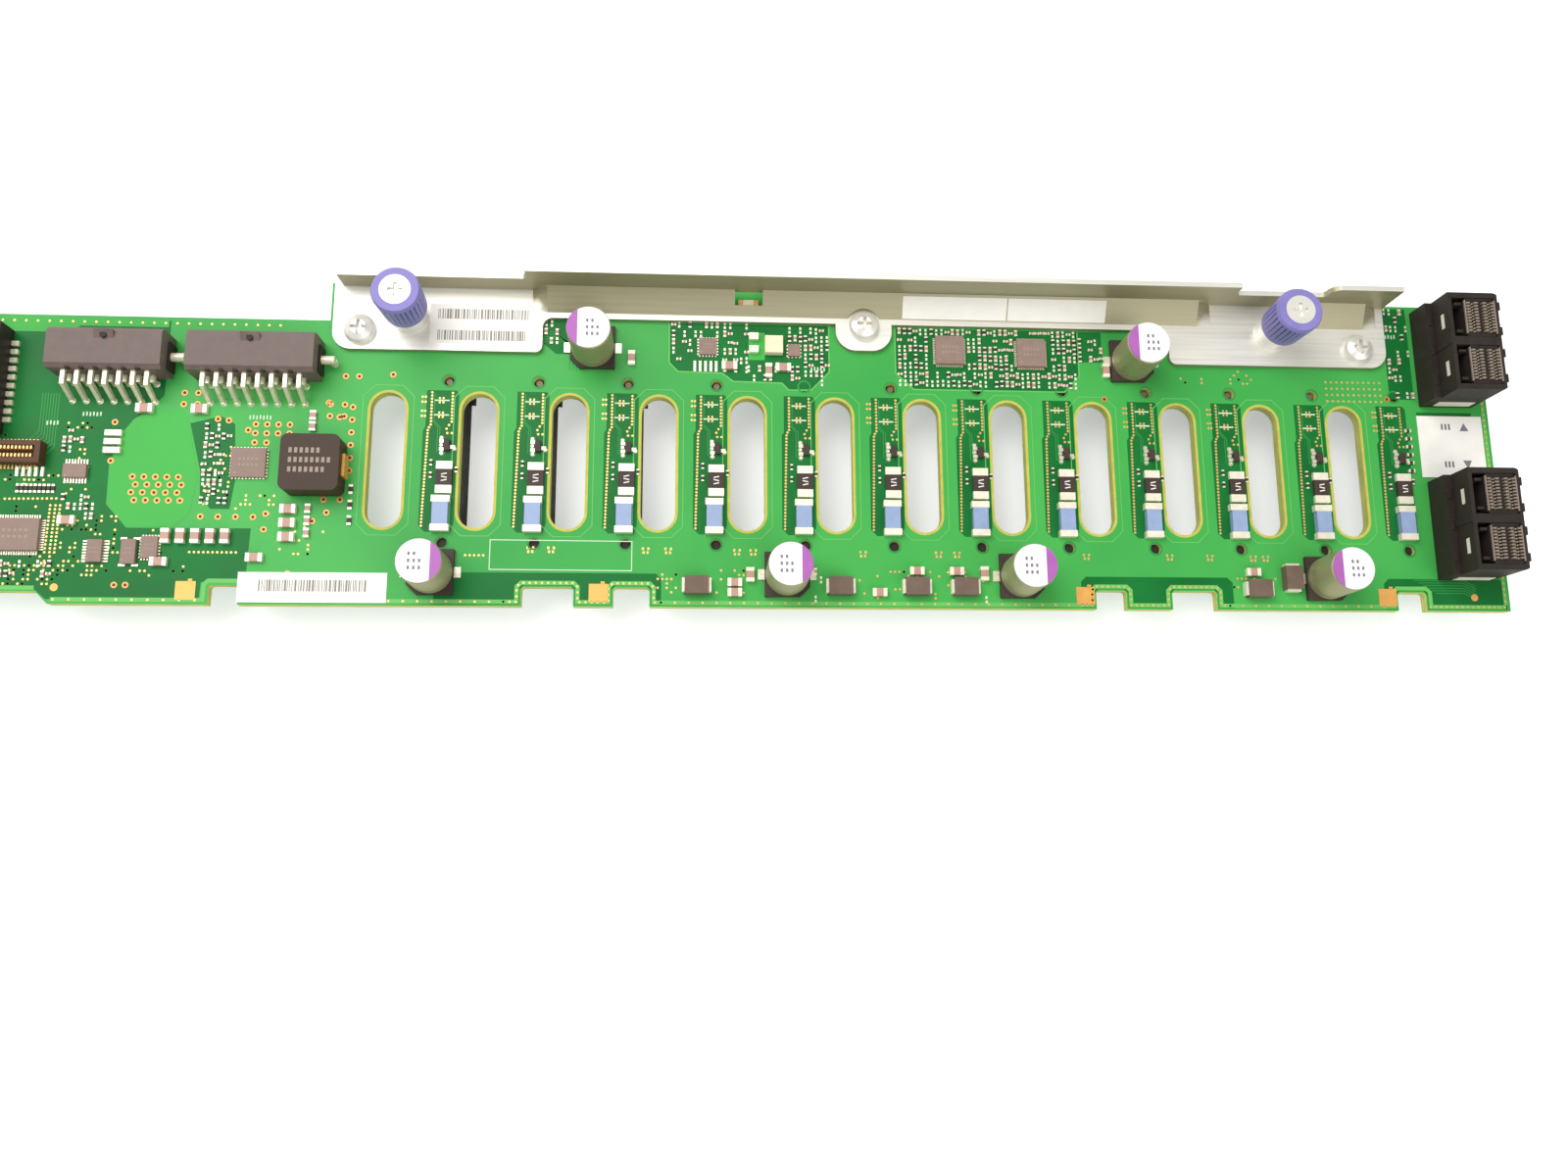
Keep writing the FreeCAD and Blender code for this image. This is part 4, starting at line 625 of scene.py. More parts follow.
def along(path: np.ndarray, step: float) -> np.ndarray:
    """Points at even steps along a path of straight runs.

    Args:
        path: corners of the path, one row each.
        step: wanted distance from point to point.

    Returns:
        The points, first and last corner included.
    """
    path = np.asarray(path, dtype=float)
    runs = np.linalg.norm(np.diff(path, axis=0), axis=1)
    total = np.concatenate([[0.0], np.cumsum(runs)])
    where = np.linspace(0, total[-1], max(int(round(total[-1] / step)), 1) + 1)
    return np.stack([np.interp(where, total, path[:, k]) for k in (0, 1)], axis=1)


# ---------------------------------------------------------------- board


@dataclass
class Board:
    """Sizes of the board that its artwork and its parts share."""

    top: float = 0.0
    bays: int = 12
    pitch: float = 20.5
    first: float = -67.8
    slot_shift: float = -13.3
    slot_y: float = -4.4
    slot_long: float = 31.8
    slot_wide: float = 7.9
    front: float = -38.0
    back: float = 38.0
    right: float = 181.0
    left: float = -181.0
    notch: float = 4.35
    notches: tuple[tuple[float, float], ...] = (
        (-117.8, -111.3), (-49.8, -38.2), (-29.4, -21.2), (81.4, 88.6), (99.4, 110.0),
        (153.6, 160.6))

    def __post_init__(self) -> None:
        """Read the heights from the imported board."""
        low, high = span("board")
        self.top = float(high[2])
        self.under = float(low[2])
        self.left, self.right = float(low[0]), float(high[0])
        self.front, self.back = float(low[1]), float(high[1])

    def bay(self, number: int) -> float:
        """Column of a bay's receptacle."""
        return self.first + self.pitch * number

    def columns(self) -> np.ndarray:
        """Columns of all receptacles."""
        return self.first + self.pitch * np.arange(self.bays)

    def front_edge(self, start: float, finish: float, inset: float) -> np.ndarray:
        """Path that follows the front edge and its notches at a given inset."""
        low = self.front + inset
        high = self.front + self.notch + inset
        path = [(start, low)]
        for left, right in self.notches:
            if left > start and right < finish:
                path += [(left - inset, low), (left - inset, high - 0.9),
                         (left - inset + 0.9, high), (right + inset - 0.9, high),
                         (right + inset, high - 0.9), (right + inset, low)]
        return np.array(path + [(finish, low)])


@dataclass
class Artwork:
    """Copper, mask, vias and legend on the component side."""

    board: Board
    film: float = 0.02
    dot: float = 0.34
    ring: tuple[float, float] = (0.72, 0.36)
    middle_area: tuple[tuple[float, float], ...] = (
        (-17.4, 29.8), (-17.4, 20.0), (-15.3, 17.8), (-5.0, 17.6), (-2.4, 15.6), (9.0, 15.4),
        (10.6, 13.7), (15.9, 13.8), (20.2, 18.3), (20.2, 29.8))
    controller_area: tuple[tuple[float, float], ...] = (
        (36.0, 29.6), (36.0, 18.4), (40.2, 14.4), (76.4, 14.4), (80.2, 18.4), (80.2, 29.6))
    random: np.random.Generator = field(default_factory=lambda: np.random.default_rng(11))

    def level(self, layer: int) -> tuple[float, float]:
        """Foot and top of one layer of the artwork."""
        return self.board.top - SINK, self.board.top + self.film * layer

    def rectangle(self, x0: float, y0: float, x1: float, y1: float,
                  cut: float = 0.0) -> np.ndarray:
        """Outline of a rectangle with cut corners."""
        if cut <= 0:
            return np.array([(x0, y0), (x1, y0), (x1, y1), (x0, y1)])
        return np.array([(x0 + cut, y0), (x1 - cut, y0), (x1, y0 + cut), (x1, y1 - cut),
                         (x1 - cut, y1), (x0 + cut, y1), (x0, y1 - cut), (x0, y0 + cut)])

    def bare_areas(self) -> None:
        """Dark areas where no copper lies under the mask."""
        mould = Mould()
        low, high = self.level(1)
        for x in self.board.columns():
            mould.prism([(x - 4.8, 12.2), (x - 4.8, 3.4), (x - 5.3, 2.6), (x - 5.3, -19.8),
                         (x - 3.9, -21.2), (x + 1.9, -21.2), (x + 2.5, -19.0), (x + 2.5, 11.4),
                         (x + 1.9, 12.2)], low, high)
        mould.prism([(self.board.left + 0.8, 27.8), (self.board.left + 0.8, -34.4),
                     (-155.0, -34.4), (-152.0, -37.0), (-119.6, -37.0), (-119.4, -33.0),
                     (-110.4, -33.0), (-109.9, -31.0), (-109.6, -20.8), (-136.4, -20.9),
                     (-141.2, -15.6), (-141.4, -6.4), (-139.2, 1.0), (-137.0, 4.2),
                     (-133.6, 6.4), (-130.8, 10.0), (-130.8, 27.8)], low, high)
        mould.prism([(-124.6, 3.4), (-121.6, -7.6), (-121.2, -13.2), (-118.8, -16.4),
                     (-114.6, -16.4), (-113.8, -9.8), (-114.8, 3.4), (-118.0, 5.2)], low, high)
        mould.prism([(-46.5, 29.8), (-46.5, 24.0), (-43.6, 21.6), (-40.4, 21.6), (-40.4, 29.8)],
                    low, high)
        for area in (self.middle_area, self.controller_area):
            mould.prism(area, low, high)
        mould.prism(self.rectangle(79.8, 22.0, 86.0, 29.6), low, high)
        mould.prism(self.rectangle(156.7, 14.0, 162.8, 37.4), low, high)
        for start, finish in ((-69.0, -18.6), (78.0, 114.0), (150.6, 180.2)):
            edge = self.board.front_edge(start, finish, 0.35)
            mould.prism(np.concatenate([edge, [(finish, -31.6), (finish - 1.2, -30.4),
                                               (start + 1.2, -30.4), (start, -31.6)]]),
                        low, high)
        mould.prism([(163.0, 10.8), (163.0, -5.6), (176.8, -5.6), (176.8, 10.8)], low, high)
        mould.cast("bare_mask_areas", DEEP, "laminate")

    def pours(self) -> None:
        """Copper areas that lie inside the dark ones, and the rails round the slots."""
        mould = Mould()
        low, high = self.level(2)
        mould.prism([(-133.0, 6.0), (-136.6, 3.8), (-138.8, 0.8), (-141.0, -6.6),
                     (-140.8, -15.4), (-136.2, -20.6), (-126.6, -20.6), (-123.2, -17.8),
                     (-122.0, -9.6), (-124.8, 3.4), (-126.4, 6.4)], low, high)
        mould.prism([(-180.0, 27.9), (-180.0, 24.6), (-152.8, 24.6), (-150.6, 26.2),
                     (-131.2, 26.2), (-131.2, 27.9)], low, high)
        mould.prism([(1.2, 21.0), (5.0, 21.0), (5.0, 27.8), (1.2, 27.8)], low, high)
        mould.cast("copper_pours", POUR, "laminate")
        rails = Mould()
        for start, finish in ((self.board.left + 2.0, -154.6),):
            rails.ribbon([(start, -34.5), (finish, -34.5)], 0.9, low, high)
        rails.ribbon(self.board.front_edge(-151.0, 179.8, 0.95), 0.95, low, high)
        rails.ribbon([(179.9, -36.6), (179.9, 36.8)], 0.9, low, high)
        reach = self.board.slot_wide / 2 + 1.75
        tall = self.board.slot_long / 2 + 1.75
        cut = 2.6
        for x in self.board.columns() + self.board.slot_shift:
            y = self.board.slot_y
            rails.ribbon([(x - reach, y - tall + cut), (x - reach + cut, y - tall),
                          (x + reach - cut, y - tall), (x + reach, y - tall + cut),
                          (x + reach, y + tall - cut), (x + reach - cut, y + tall),
                          (x - reach + cut, y + tall), (x - reach, y + tall - cut)],
                         0.22, low, high, closed=True)
        for area in (self.middle_area, self.controller_area):
            rails.ribbon(area, 0.34, low, high)
        rails.cast("edge_rails", POUR_PALE, "laminate")

    def slot_rims(self) -> None:
        """Bare laminate left open round each airflow slot."""
        mould = Mould()
        low, high = self.level(2)
        radius = self.board.slot_wide / 2 + 0.32
        run = (self.board.slot_long - self.board.slot_wide) / 2
        angle = np.linspace(0, np.pi, 13)
        arc = np.stack([np.cos(angle), np.sin(angle)], axis=1) * radius
        loop = np.concatenate([arc + (0, run), -arc - (0, run)])
        for x in self.board.columns() + self.board.slot_shift:
            mould.ribbon(loop + (x, self.board.slot_y), 0.62, low, high, closed=True)
        mould.cast("slot_rims", BARE, "laminate")

    def traces(self) -> None:
        """Tracks that show through the mask over the dark areas."""
        mould = Mould()
        low, high = self.level(2)
        for k in range(5):
            y = 27.0 - k * 0.6
            mould.ribbon([(-53.0, y), (-44.0 + k * 0.8, y), (-40.4 + k * 0.8, y - 3.4),
                          (-40.4 + k * 0.8, 17.6)], 0.22, low, high)
        for k in range(8):
            x = -176.0 + k * 0.65
            mould.ribbon([(x, 22.0), (x, 4.0 + k), (x + 5.0, -1.0 + k), (x + 5.0, -8.0)],
                         0.2, low, high)
        for k in range(7):
            x = -157.2 + k * 0.6
            mould.ribbon([(x, 10.0), (x, 1.0 - k * 0.6), (x - 3.4, -2.4 - k * 0.6),
                          (x - 3.4, -13.0)], 0.2, low, high)
        for x in self.board.columns():
            for k in range(2):
                mould.ribbon([(x - 3.4 + k * 0.5, 11.6), (x - 3.4 + k * 0.5, 5.0),
                              (x - 2.0 + k * 0.5, 3.4), (x - 2.0 + k * 0.5, -2.6)],
                             0.18, low, high)
        for k in range(6):
            y = -30.9 - k * 0.62
            mould.ribbon([(158.0 + k, y + 0.2), (170.0, y + 0.2), (173.0, y - 1.2)], 0.2,
                         low, high)
        mould.cast("mask_tracks", TRACE, "laminate")

    def gold_dots(self) -> np.ndarray:
        """Places of the small filled vias."""
        spots = [along(self.board.front_edge(-107.0, -53.6, 0.95), 3.1)]
        spots.append(along(self.board.front_edge(-53.6, -18.6, 0.95), 1.35))
        spots.append(along(self.board.front_edge(-18.6, 78.0, 0.95), 3.1))
        spots.append(along(self.board.front_edge(79.0, 113.0, 0.95), 1.3))
        spots.append(along(self.board.front_edge(113.0, 150.0, 0.95), 3.1))
        spots.append(along(self.board.front_edge(161.4, 179.6, 0.95), 1.3))
        spots.append(along([(-150.4, -37.05), (-120.4, -37.05)], 3.4))
        spots.append(along([(179.9, -35.6), (179.9, 36.4)], 1.45))
        spots.append(along([(-178.0, 27.2), (-106.4, 27.2)], 2.6))
        for number, x in enumerate(self.board.columns()):
            spots.append(along([(x - 3.6, 11.7), (x - 3.6, 3.8), (x - 4.2, 3.0),
                                (x - 4.7, -19.8)], 0.78))
            spots.append(along([(x + 1.05, 11.6), (x + 1.05, 4.7)], 0.78))
            spots.append(along([(x + 0.5, 3.9), (x + 0.0, 3.0)], 0.8))
            spots.append([(x + 1.2, 2.0), (x + 0.2, 2.0)])
            if number % 3 != 1:
                for dy in (10.6, 9.4, 7.2, 6.0):
                    spots.append([(x - 5.7, dy), (x - 5.0, dy)])
        spots.append(along([(-62.4, -26.5), (-58.4, -26.5)], 1.0))
        spots.append(along([(-162.8, -14.6), (-151.9, -14.4)], 0.95))
        spots.append(along([(-122.4, -26.3), (-112.4, -26.3)], 0.98))
        for x in (-153.0, -151.9, -150.9):
            spots.append(along([(x, -16.0), (x - 0.2, -26.6)], 0.92))
        for x0, y0, x1, y1, number in ((-175.0, -27.3, -151.0, -33.6, 130),
                                       (-164.0, -8.6, -152.0, -11.0, 18),
                                       (-151.0, 3.0, -143.0, 1.6, 12),
                                       (-146.0, -18.0, -138.0, -22.2, 16),
                                       (-150.0, -17.2, -142.6, -22.0, 14),
                                       (-137.0, -29.6, -122.0, -31.4, 10),
                                       (-176.0, 2.8, -162.0, -1.0, 20),
                                       (-121.0, -1.0, -115.2, -15.4, 22),
                                       (-113.0, -12.6, -105.0, -17.0, 14),
                                       (-7.0, -29.2, 4.0, -35.4, 12),
                                       (-150.4, -24.0, -139.0, -31.8, 46),
                                       (-151.0, -3.0, -145.6, -13.6, 22),
                                       (-163.0, -15.6, -154.0, -25.6, 20),
                                       (-179.6, 10.0, -170.0, 3.4, 22),
                                       (-139.6, -21.6, -125.0, -28.6, 30),
                                       (-104.0, -20.6, -92.0, -27.0, 14),
                                       (26.0, -29.2, 59.0, -35.4, 40),
                                       (114.0, -29.2, 126.0, -35.4, 12),
                                       (-22.0, -29.6, -14.6, -35.2, 12),
                                       (104.0, 20.0, 124.0, 17.0, 16)):
            grid = self.random.uniform((x0, y1), (x1, y0), (number, 2))
            spots.append(np.round(grid / 1.02) * 1.02)
        for x in np.arange(141.0, 154.6, 1.35):
            spots.append([(x, y) for y in (13.3, 14.9, 16.5, 18.1)])
        return np.concatenate([np.asarray(spot, dtype=float) for spot in spots])

    def vias(self) -> None:
        """Small filled vias, ringed vias with open bores, and test pads."""
        top = self.board.top
        under = self.board.under
        spots = self.gold_dots()
        dots = Mould()
        dots.studs(spots, self.dot, top - SINK, top + 0.07, 8, 0.8)
        dots.studs(spots, 0.28, under - 0.05, under + SINK, 6)
        dots.cast("filled_vias", GOLD, "gold")
        ringed = [(-141.0, 3.4), (-141.1, -5.6)]
        ringed += [(-136.1 + 2.48 * i + 0.8 * (j % 2), -9.2 - 1.8 * j)
                   for i in range(5) for j in range(4)]
        ringed += [(-126.4 + 3.0 * i, 10.6 - 2.7 * j) for i in range(2) for j in range(2)]
        ringed += [(-118.6, 4.5), (-116.2, 4.2)]
        ringed += [(-110.2 + 2.5 * i, 3.4 - 2.1 * j) for i in range(4) for j in range(2)]
        ringed += [(-107.6, -0.9), (-110.2, -0.9), (-111.8, 2.0)]
        ringed += [(-94.0 + 3.2 * i, 8.4 - 2.8 * j) for i in range(2) for j in range(2)]
        ringed += [(-89.0, 7.8 - 3.0 * i) for i in range(6)] + [(-91.8, 5.4), (-94.4, 8.8)]
        ringed += [(-94.2, -14.0), (-90.6, -14.0), (-93.4, -17.0), (-96.4, -19.0)]
        ringed += [(-120.7 + 3.8 * i, -18.2) for i in range(4)]
        ringed += [(-106.6, -17.4), (-106.8, -21.0), (-137.8, -33.8), (-135.4, -33.8),
                   (-101.0, -31.0), (-108.2, -31.4)]
        ringed += [(-91.0, 15.2), (-88.0, 15.2), (-80.4, 15.8), (156.0, 14.0), (86.0, 12.8)]
        rings = Mould()
        rings.rings(np.array(ringed), *self.ring, top - SINK, top + 0.08)
        rings.rings(np.array(ringed), *self.ring, under - 0.08, under + SINK)
        rings.cast("ringed_vias", RING, "gold")
        # the bores are flat discs on the board, dark as painted shade for the open holes
        bores = Mould()
        bores.studs(np.array(ringed), 0.37, top - SINK, top + 0.045, 10)
        bores.studs(np.array(ringed), 0.37, under - 0.045, under + SINK, 10)
        bores.cast("via_bores", BORE_PAINTED_SHADE, "gold")
        pads = Mould()
        corners = ((-122.6, -34.9), (-32.6, -34.9), (78.9, -34.9), (151.2, -34.9))
        pads.boxes([(x, y, top + 0.03) for x, y in corners], (4.3, 4.1, 0.08))
        pads.boxes([(x + 0.9, y + 2.3, top + 0.03) for x, y in corners], (0.9, 0.6, 0.08))
        pads.studs([(-150.4, -34.4), (172.4, -34.8)], 0.85, top - SINK, top + 0.06, 20)
        pads.studs([(173.3, -34.8)], 0.1, top - SINK, top, 6)
        pads.cast("open_pads", COPPER, "gold")
        rims = Mould()
        holes = [(x, y) for x in self.board.columns() for y in (14.6, -23.6)]
        rims.rings(np.array(holes), 1.62, 1.2, top - SINK, top + 0.05, 20)
        rims.cast("locating_hole_rims", TRACE, "laminate")

    def legend(self) -> None:
        """Printed outlines and generic part marks."""
        mould, pads = Mould(), Mould()
        low, high = self.level(3)
        top = self.board.top
        mould.ribbon([(-57.0, -22.9), (-25.3, -23.0), (-25.3, -29.8), (-57.0, -29.7)], 0.22,
                     low, high, closed=True)
        for x in self.board.columns():
            for dy in (9.8, 6.3):
                mould.ribbon([(x - 3.0, dy), (x + 0.4, dy)], 0.34, low, high)
        for x, y in ((-72.0, -26.0), (-69.2, -26.0), (-48.0, -25.2), (-43.4, -25.2),
                     (-22.2, -25.2), (-17.1, -25.2), (-1.5, -25.4), (2.2, -25.4), (27.4, -25.6),
                     (44.9, -25.6), (49.2, -25.6), (79.6, -25.8), (99.4, -25.8), (109.0, -25.8),
                     (119.4, -25.9), (122.4, -25.9), (143.4, -26.0), (146.6, -26.0)):
            for side in (-1, 1):
                pads.boxes([(x + 0.45 * side, y - 0.35, top), (x + 0.62 * side, y + 0.55, top)],
                           (0.5, 0.62, 0.1))
        for x, y, count in ((-148.0, 5.2, 6), (-111.6, 5.0, 7), (16.0, 19.0, 5),
                            (-45.6, 31.4, 5), (157.2, 30.0, 4), (-155.6, 3.0, 4)):
            mould.boxes([(x + 0.75 * i, y + 0.1 * (i % 2), self.board.top + 0.03)
                         for i in range(count)], (0.34, 0.95, 0.06))
        mould.cast("legend_marks", SILK, "laminate")
        pads.cast("test_pad_pairs", GOLD, "gold")

    def build(self) -> None:
        """Lay down every layer."""
        self.bare_areas()
        self.pours()
        self.slot_rims()
        self.traces()
        self.vias()
        self.legend()


# ---------------------------------------------------------------- small surface parts


class Way(Enum):
    """Which way a chip part lies."""

    ACROSS = 0
    UPRIGHT = 1


@dataclass
class ChipParts:
    """Chip resistors and capacitors: a body with a metal cap at each end."""

    board: Board
    window: tuple[float, float] = (1.15, 34.7)
    crowded: tuple[tuple[tuple[float, ...], float], ...] = (
        ((-16.4, 20.8, -5.0, 29.6), 0.62), ((-4.4, 18.6, 1.0, 29.4), 0.66),
        ((14.6, 15.6, 19.8, 29.4), 0.80), ((1.2, 16.6, 14.4, 20.6), 0.60),
        ((9.6, 26.4, 14.6, 29.4), 0.70), ((37.0, 16.0, 80.0, 29.4), 0.86),
        ((80.6, 22.8, 86.0, 29.2), 0.60), ((157.4, 15.0, 162.6, 36.6), 0.38),
        ((-46.0, 24.8, -41.0, 29.4), 0.5), ((-120.8, -14.6, -115.0, 3.4), 0.74),
        ((-151.4, -3.0, -146.4, 1.8), 0.7), ((-162.0, -31.4, -151.6, -27.6), 0.5),
        ((-178.0, -17.6, -166.0, -2.0), 0.55), ((-150.4, -18.4, -144.0, -13.2), 0.5),
        ((-179.0, -33.0, -168.0, -24.0), 0.45), ((-106.6, -16.0, -104.0, -28.0), 0.6),
        ((13.8, -36.0, 18.6, -28.6), 0.3), ((54.4, -36.0, 58.6, -28.6), 0.4))
    taken: list[tuple[np.ndarray, np.ndarray]] = field(default_factory=list)
    random: np.random.Generator = field(default_factory=lambda: np.random.default_rng(23))

    def lay(self, mould: Mould, caps: Mould, spots: list[tuple[float, float]], way: Way,
            size: tuple[float, float, float] = (1.5, 0.8, 0.5)) -> None:
        """Lay equal parts.

        Args:
            mould: takes the bodies.
            caps: takes the end caps.
            spots: middle of each part.
            way: which way the parts lie.
            size: length, width and height over the caps.
        """
        long, wide, high = size
        cap = long * 0.24
        axis = np.array((1.0, 0.0) if way is Way.ACROSS else (0.0, 1.0))
        middle = np.array([(x, y, self.board.top + high / 2) for x, y in spots])
        body = np.array((long - 2 * cap, wide * 0.96, high * 0.96))
        end = np.array((cap, wide, high))
        if way is Way.UPRIGHT:
            body, end = body[[1, 0, 2]], end[[1, 0, 2]]
        mould.boxes(middle, body)
        shift = np.array((axis[0], axis[1], 0.0)) * (long - cap) / 2
        caps.boxes(np.concatenate([middle + shift, middle - shift]), end)

    def field(self, tan: Mould, dark: Mould, caps: Mould, area: tuple[float, ...],
              fill: float, pitch: tuple[float, float] = (1.28, 2.15)) -> None:
        """Crowd an area with the smallest parts, each on its own pads.

        Args:
            tan: takes the capacitors' bodies.
            dark: takes the resistors' bodies.
            caps: takes the end caps and the empty pads.
            area: left, front, right and back end of the area.
            fill: share of the places that are taken.
            pitch: distance from place to place, along and across the board.
        """
        x0, y0, x1, y1 = area
        for x in np.arange(x0, x1, pitch[0]):
            for y in np.arange(y0, y1, pitch[1]):
                draw, kind, shift = self.random.random(3)
                middle = (float(x), float(y) + 0.25 * (shift - 0.5))
                if draw > fill or self.covered(middle):
                    continue
                if kind < 0.42:
                    self.lay(tan if kind < 0.22 else dark, caps, [middle], Way.UPRIGHT,
                             (1.5, 0.72, 0.42))
                elif kind < 0.62:
                    self.lay(tan, caps, [middle], Way.ACROSS, (1.1, 0.6, 0.4))
                else:
                    caps.boxes([(middle[0], middle[1] + 0.5 * k, self.board.top + 0.06)
                                for k in (-1, 1)], (0.5, 0.62, 0.14))

    def covered(self, middle: tuple[float, float], margin: float = 1.2) -> bool:
        """Tell whether a larger part already stands at a place."""
        return any(low[0] - margin < middle[0] < high[0] + margin
                   and low[1] - margin < middle[1] < high[1] + margin
                   for low, high in self.taken)

    def build(self) -> None:
        """Lay the parts of every region."""
        tan, dark, caps = Mould(), Mould(), Mould()
        for node in ("controllers", "regulators", "logic_chips", "oscillator",
                     "ceramic_capacitors", "capacitor_bases", "small_inductors"):
            self.taken += solid_boxes(node)
        for area, fill in self.crowded:
            self.field(tan, dark, caps, area, fill)
        self.lay(dark, caps, [(-160.3 + 0.95 * i, -12.2) for i in range(9)], Way.UPRIGHT,
                 (2.0, 0.62, 0.4))
        caps.boxes([(-11.4 + 1.25 * i, 19.2, self.board.top + 0.1) for i in range(5)],
                   (0.6, 2.6, 0.22))
        for x in self.board.columns():
            self.lay(dark, caps, [(x - 3.1, -5.1), (x - 3.1, -8.0)], Way.UPRIGHT,
                     (1.4, 0.6, 0.4))
            self.lay(dark, caps, [(x + 2.6, -6.7)], Way.UPRIGHT, (1.3, 0.6, 0.4))
        caps.boxes([(-160.7 + 1.35 * i, -8.4, self.board.top + 0.3) for i in range(5)],
                   (0.62, 2.2, 0.5))
        caps.boxes([(-140.8, 0.7 - 2.0 * i, self.board.top + 0.5) for i in range(3)],
                   (3.6, 1.3, 1.0))
        self.lay(tan, caps, [(-26.1, 20.8), (5.9, 18.3), (86.6, 19.8)], Way.UPRIGHT,
                 (3.4, 1.6, 1.0))
        self.lay(tan, caps, [(-3.3, 19.3), (9.3, 19.1), (-128.6, -28.6), (-108.2, -27.5),
                             (-149.0, -19.4)], Way.ACROSS, (3.6, 1.9, 1.1))
        caps.boxes([(2.4, 26.6, self.board.top + 0.6), (2.4, 23.4, self.board.top + 0.6)],
                   (2.2, 1.6, 1.2))
        self.lay(tan, caps, [(-97.6, 5.6 - 2.6 * i) for i in range(2)], Way.UPRIGHT,
                 (2.2, 1.4, 0.8))
        self.lay(tan, caps, [(-97.4, -16.2 - 2.8 * i) for i in range(3)], Way.UPRIGHT,
                 (2.1, 1.2, 0.8))
        self.lay(dark, caps, [(-88.3, -11.6 - 3.6 * i) for i in range(3)], Way.UPRIGHT,
                 (2.2, 0.9, 0.5))
        self.lay(dark, caps, [(-177.6, 20.4 - 1.9 * i) for i in range(8)], Way.ACROSS,
                 (1.5, 0.8, 0.5))
        self.lay(dark, caps, [(160.2, 6.0 - 2.0 * i) for i in range(6)], Way.ACROSS)
        tan.cast("chip_capacitor_bodies", TAN, "ceramic_tan")
        dark.cast("chip_resistor_bodies", RESIN_DARK, "resin_black")
        caps.cast("chip_end_caps", CAP_END, "tin")
        self.end_bands()
        self.under_window()

    def end_bands(self) -> None:
        """Plated ends of the larger ceramic capacitors, wrapped round their solids."""
        bands = Mould()
        for low, high in solid_boxes("ceramic_capacitors"):
            size, middle = high - low, (low + high) / 2
            axis = 0 if size[0] > size[1] else 1
            band = size + 0.08
            band[axis] = size[axis] * 0.27
            for way in (-1, 1):
                spot = middle + (0, 0, 0.02)
                spot[axis] += way * (size[axis] - band[axis] + 0.08) / 2
                bands.boxes(spot, band)
        bands.cast("ceramic_end_bands", CAP_END, "tin", bevel=0.06)

    def under_window(self) -> None:
        """The lamp on the board that shows through the window of the slope."""
        x, y = self.window
        top = self.board.top
        lens, ends = Mould(), Mould()
        lens.boxes([(x, y, top + 0.6)], (2.6, 1.7, 1.2))
        ends.boxes([(x + 1.85 * k, y, top + 0.45) for k in (-1, 1)], (1.1, 1.9, 0.9))
        lens.cast("status_lamp", CREAM, "white_nylon", bevel=0.1)
        ends.cast("status_lamp_ends", GOLD, "gold", bevel=0.05)


# ---------------------------------------------------------------- chips


@dataclass(frozen=True)
class Package:
    """One chip: its place, body and leads."""

    x: float
    y: float
    long: float
    wide: float
    high: float
    leads_x: int
    leads_y: int
    reach: float = 0.7


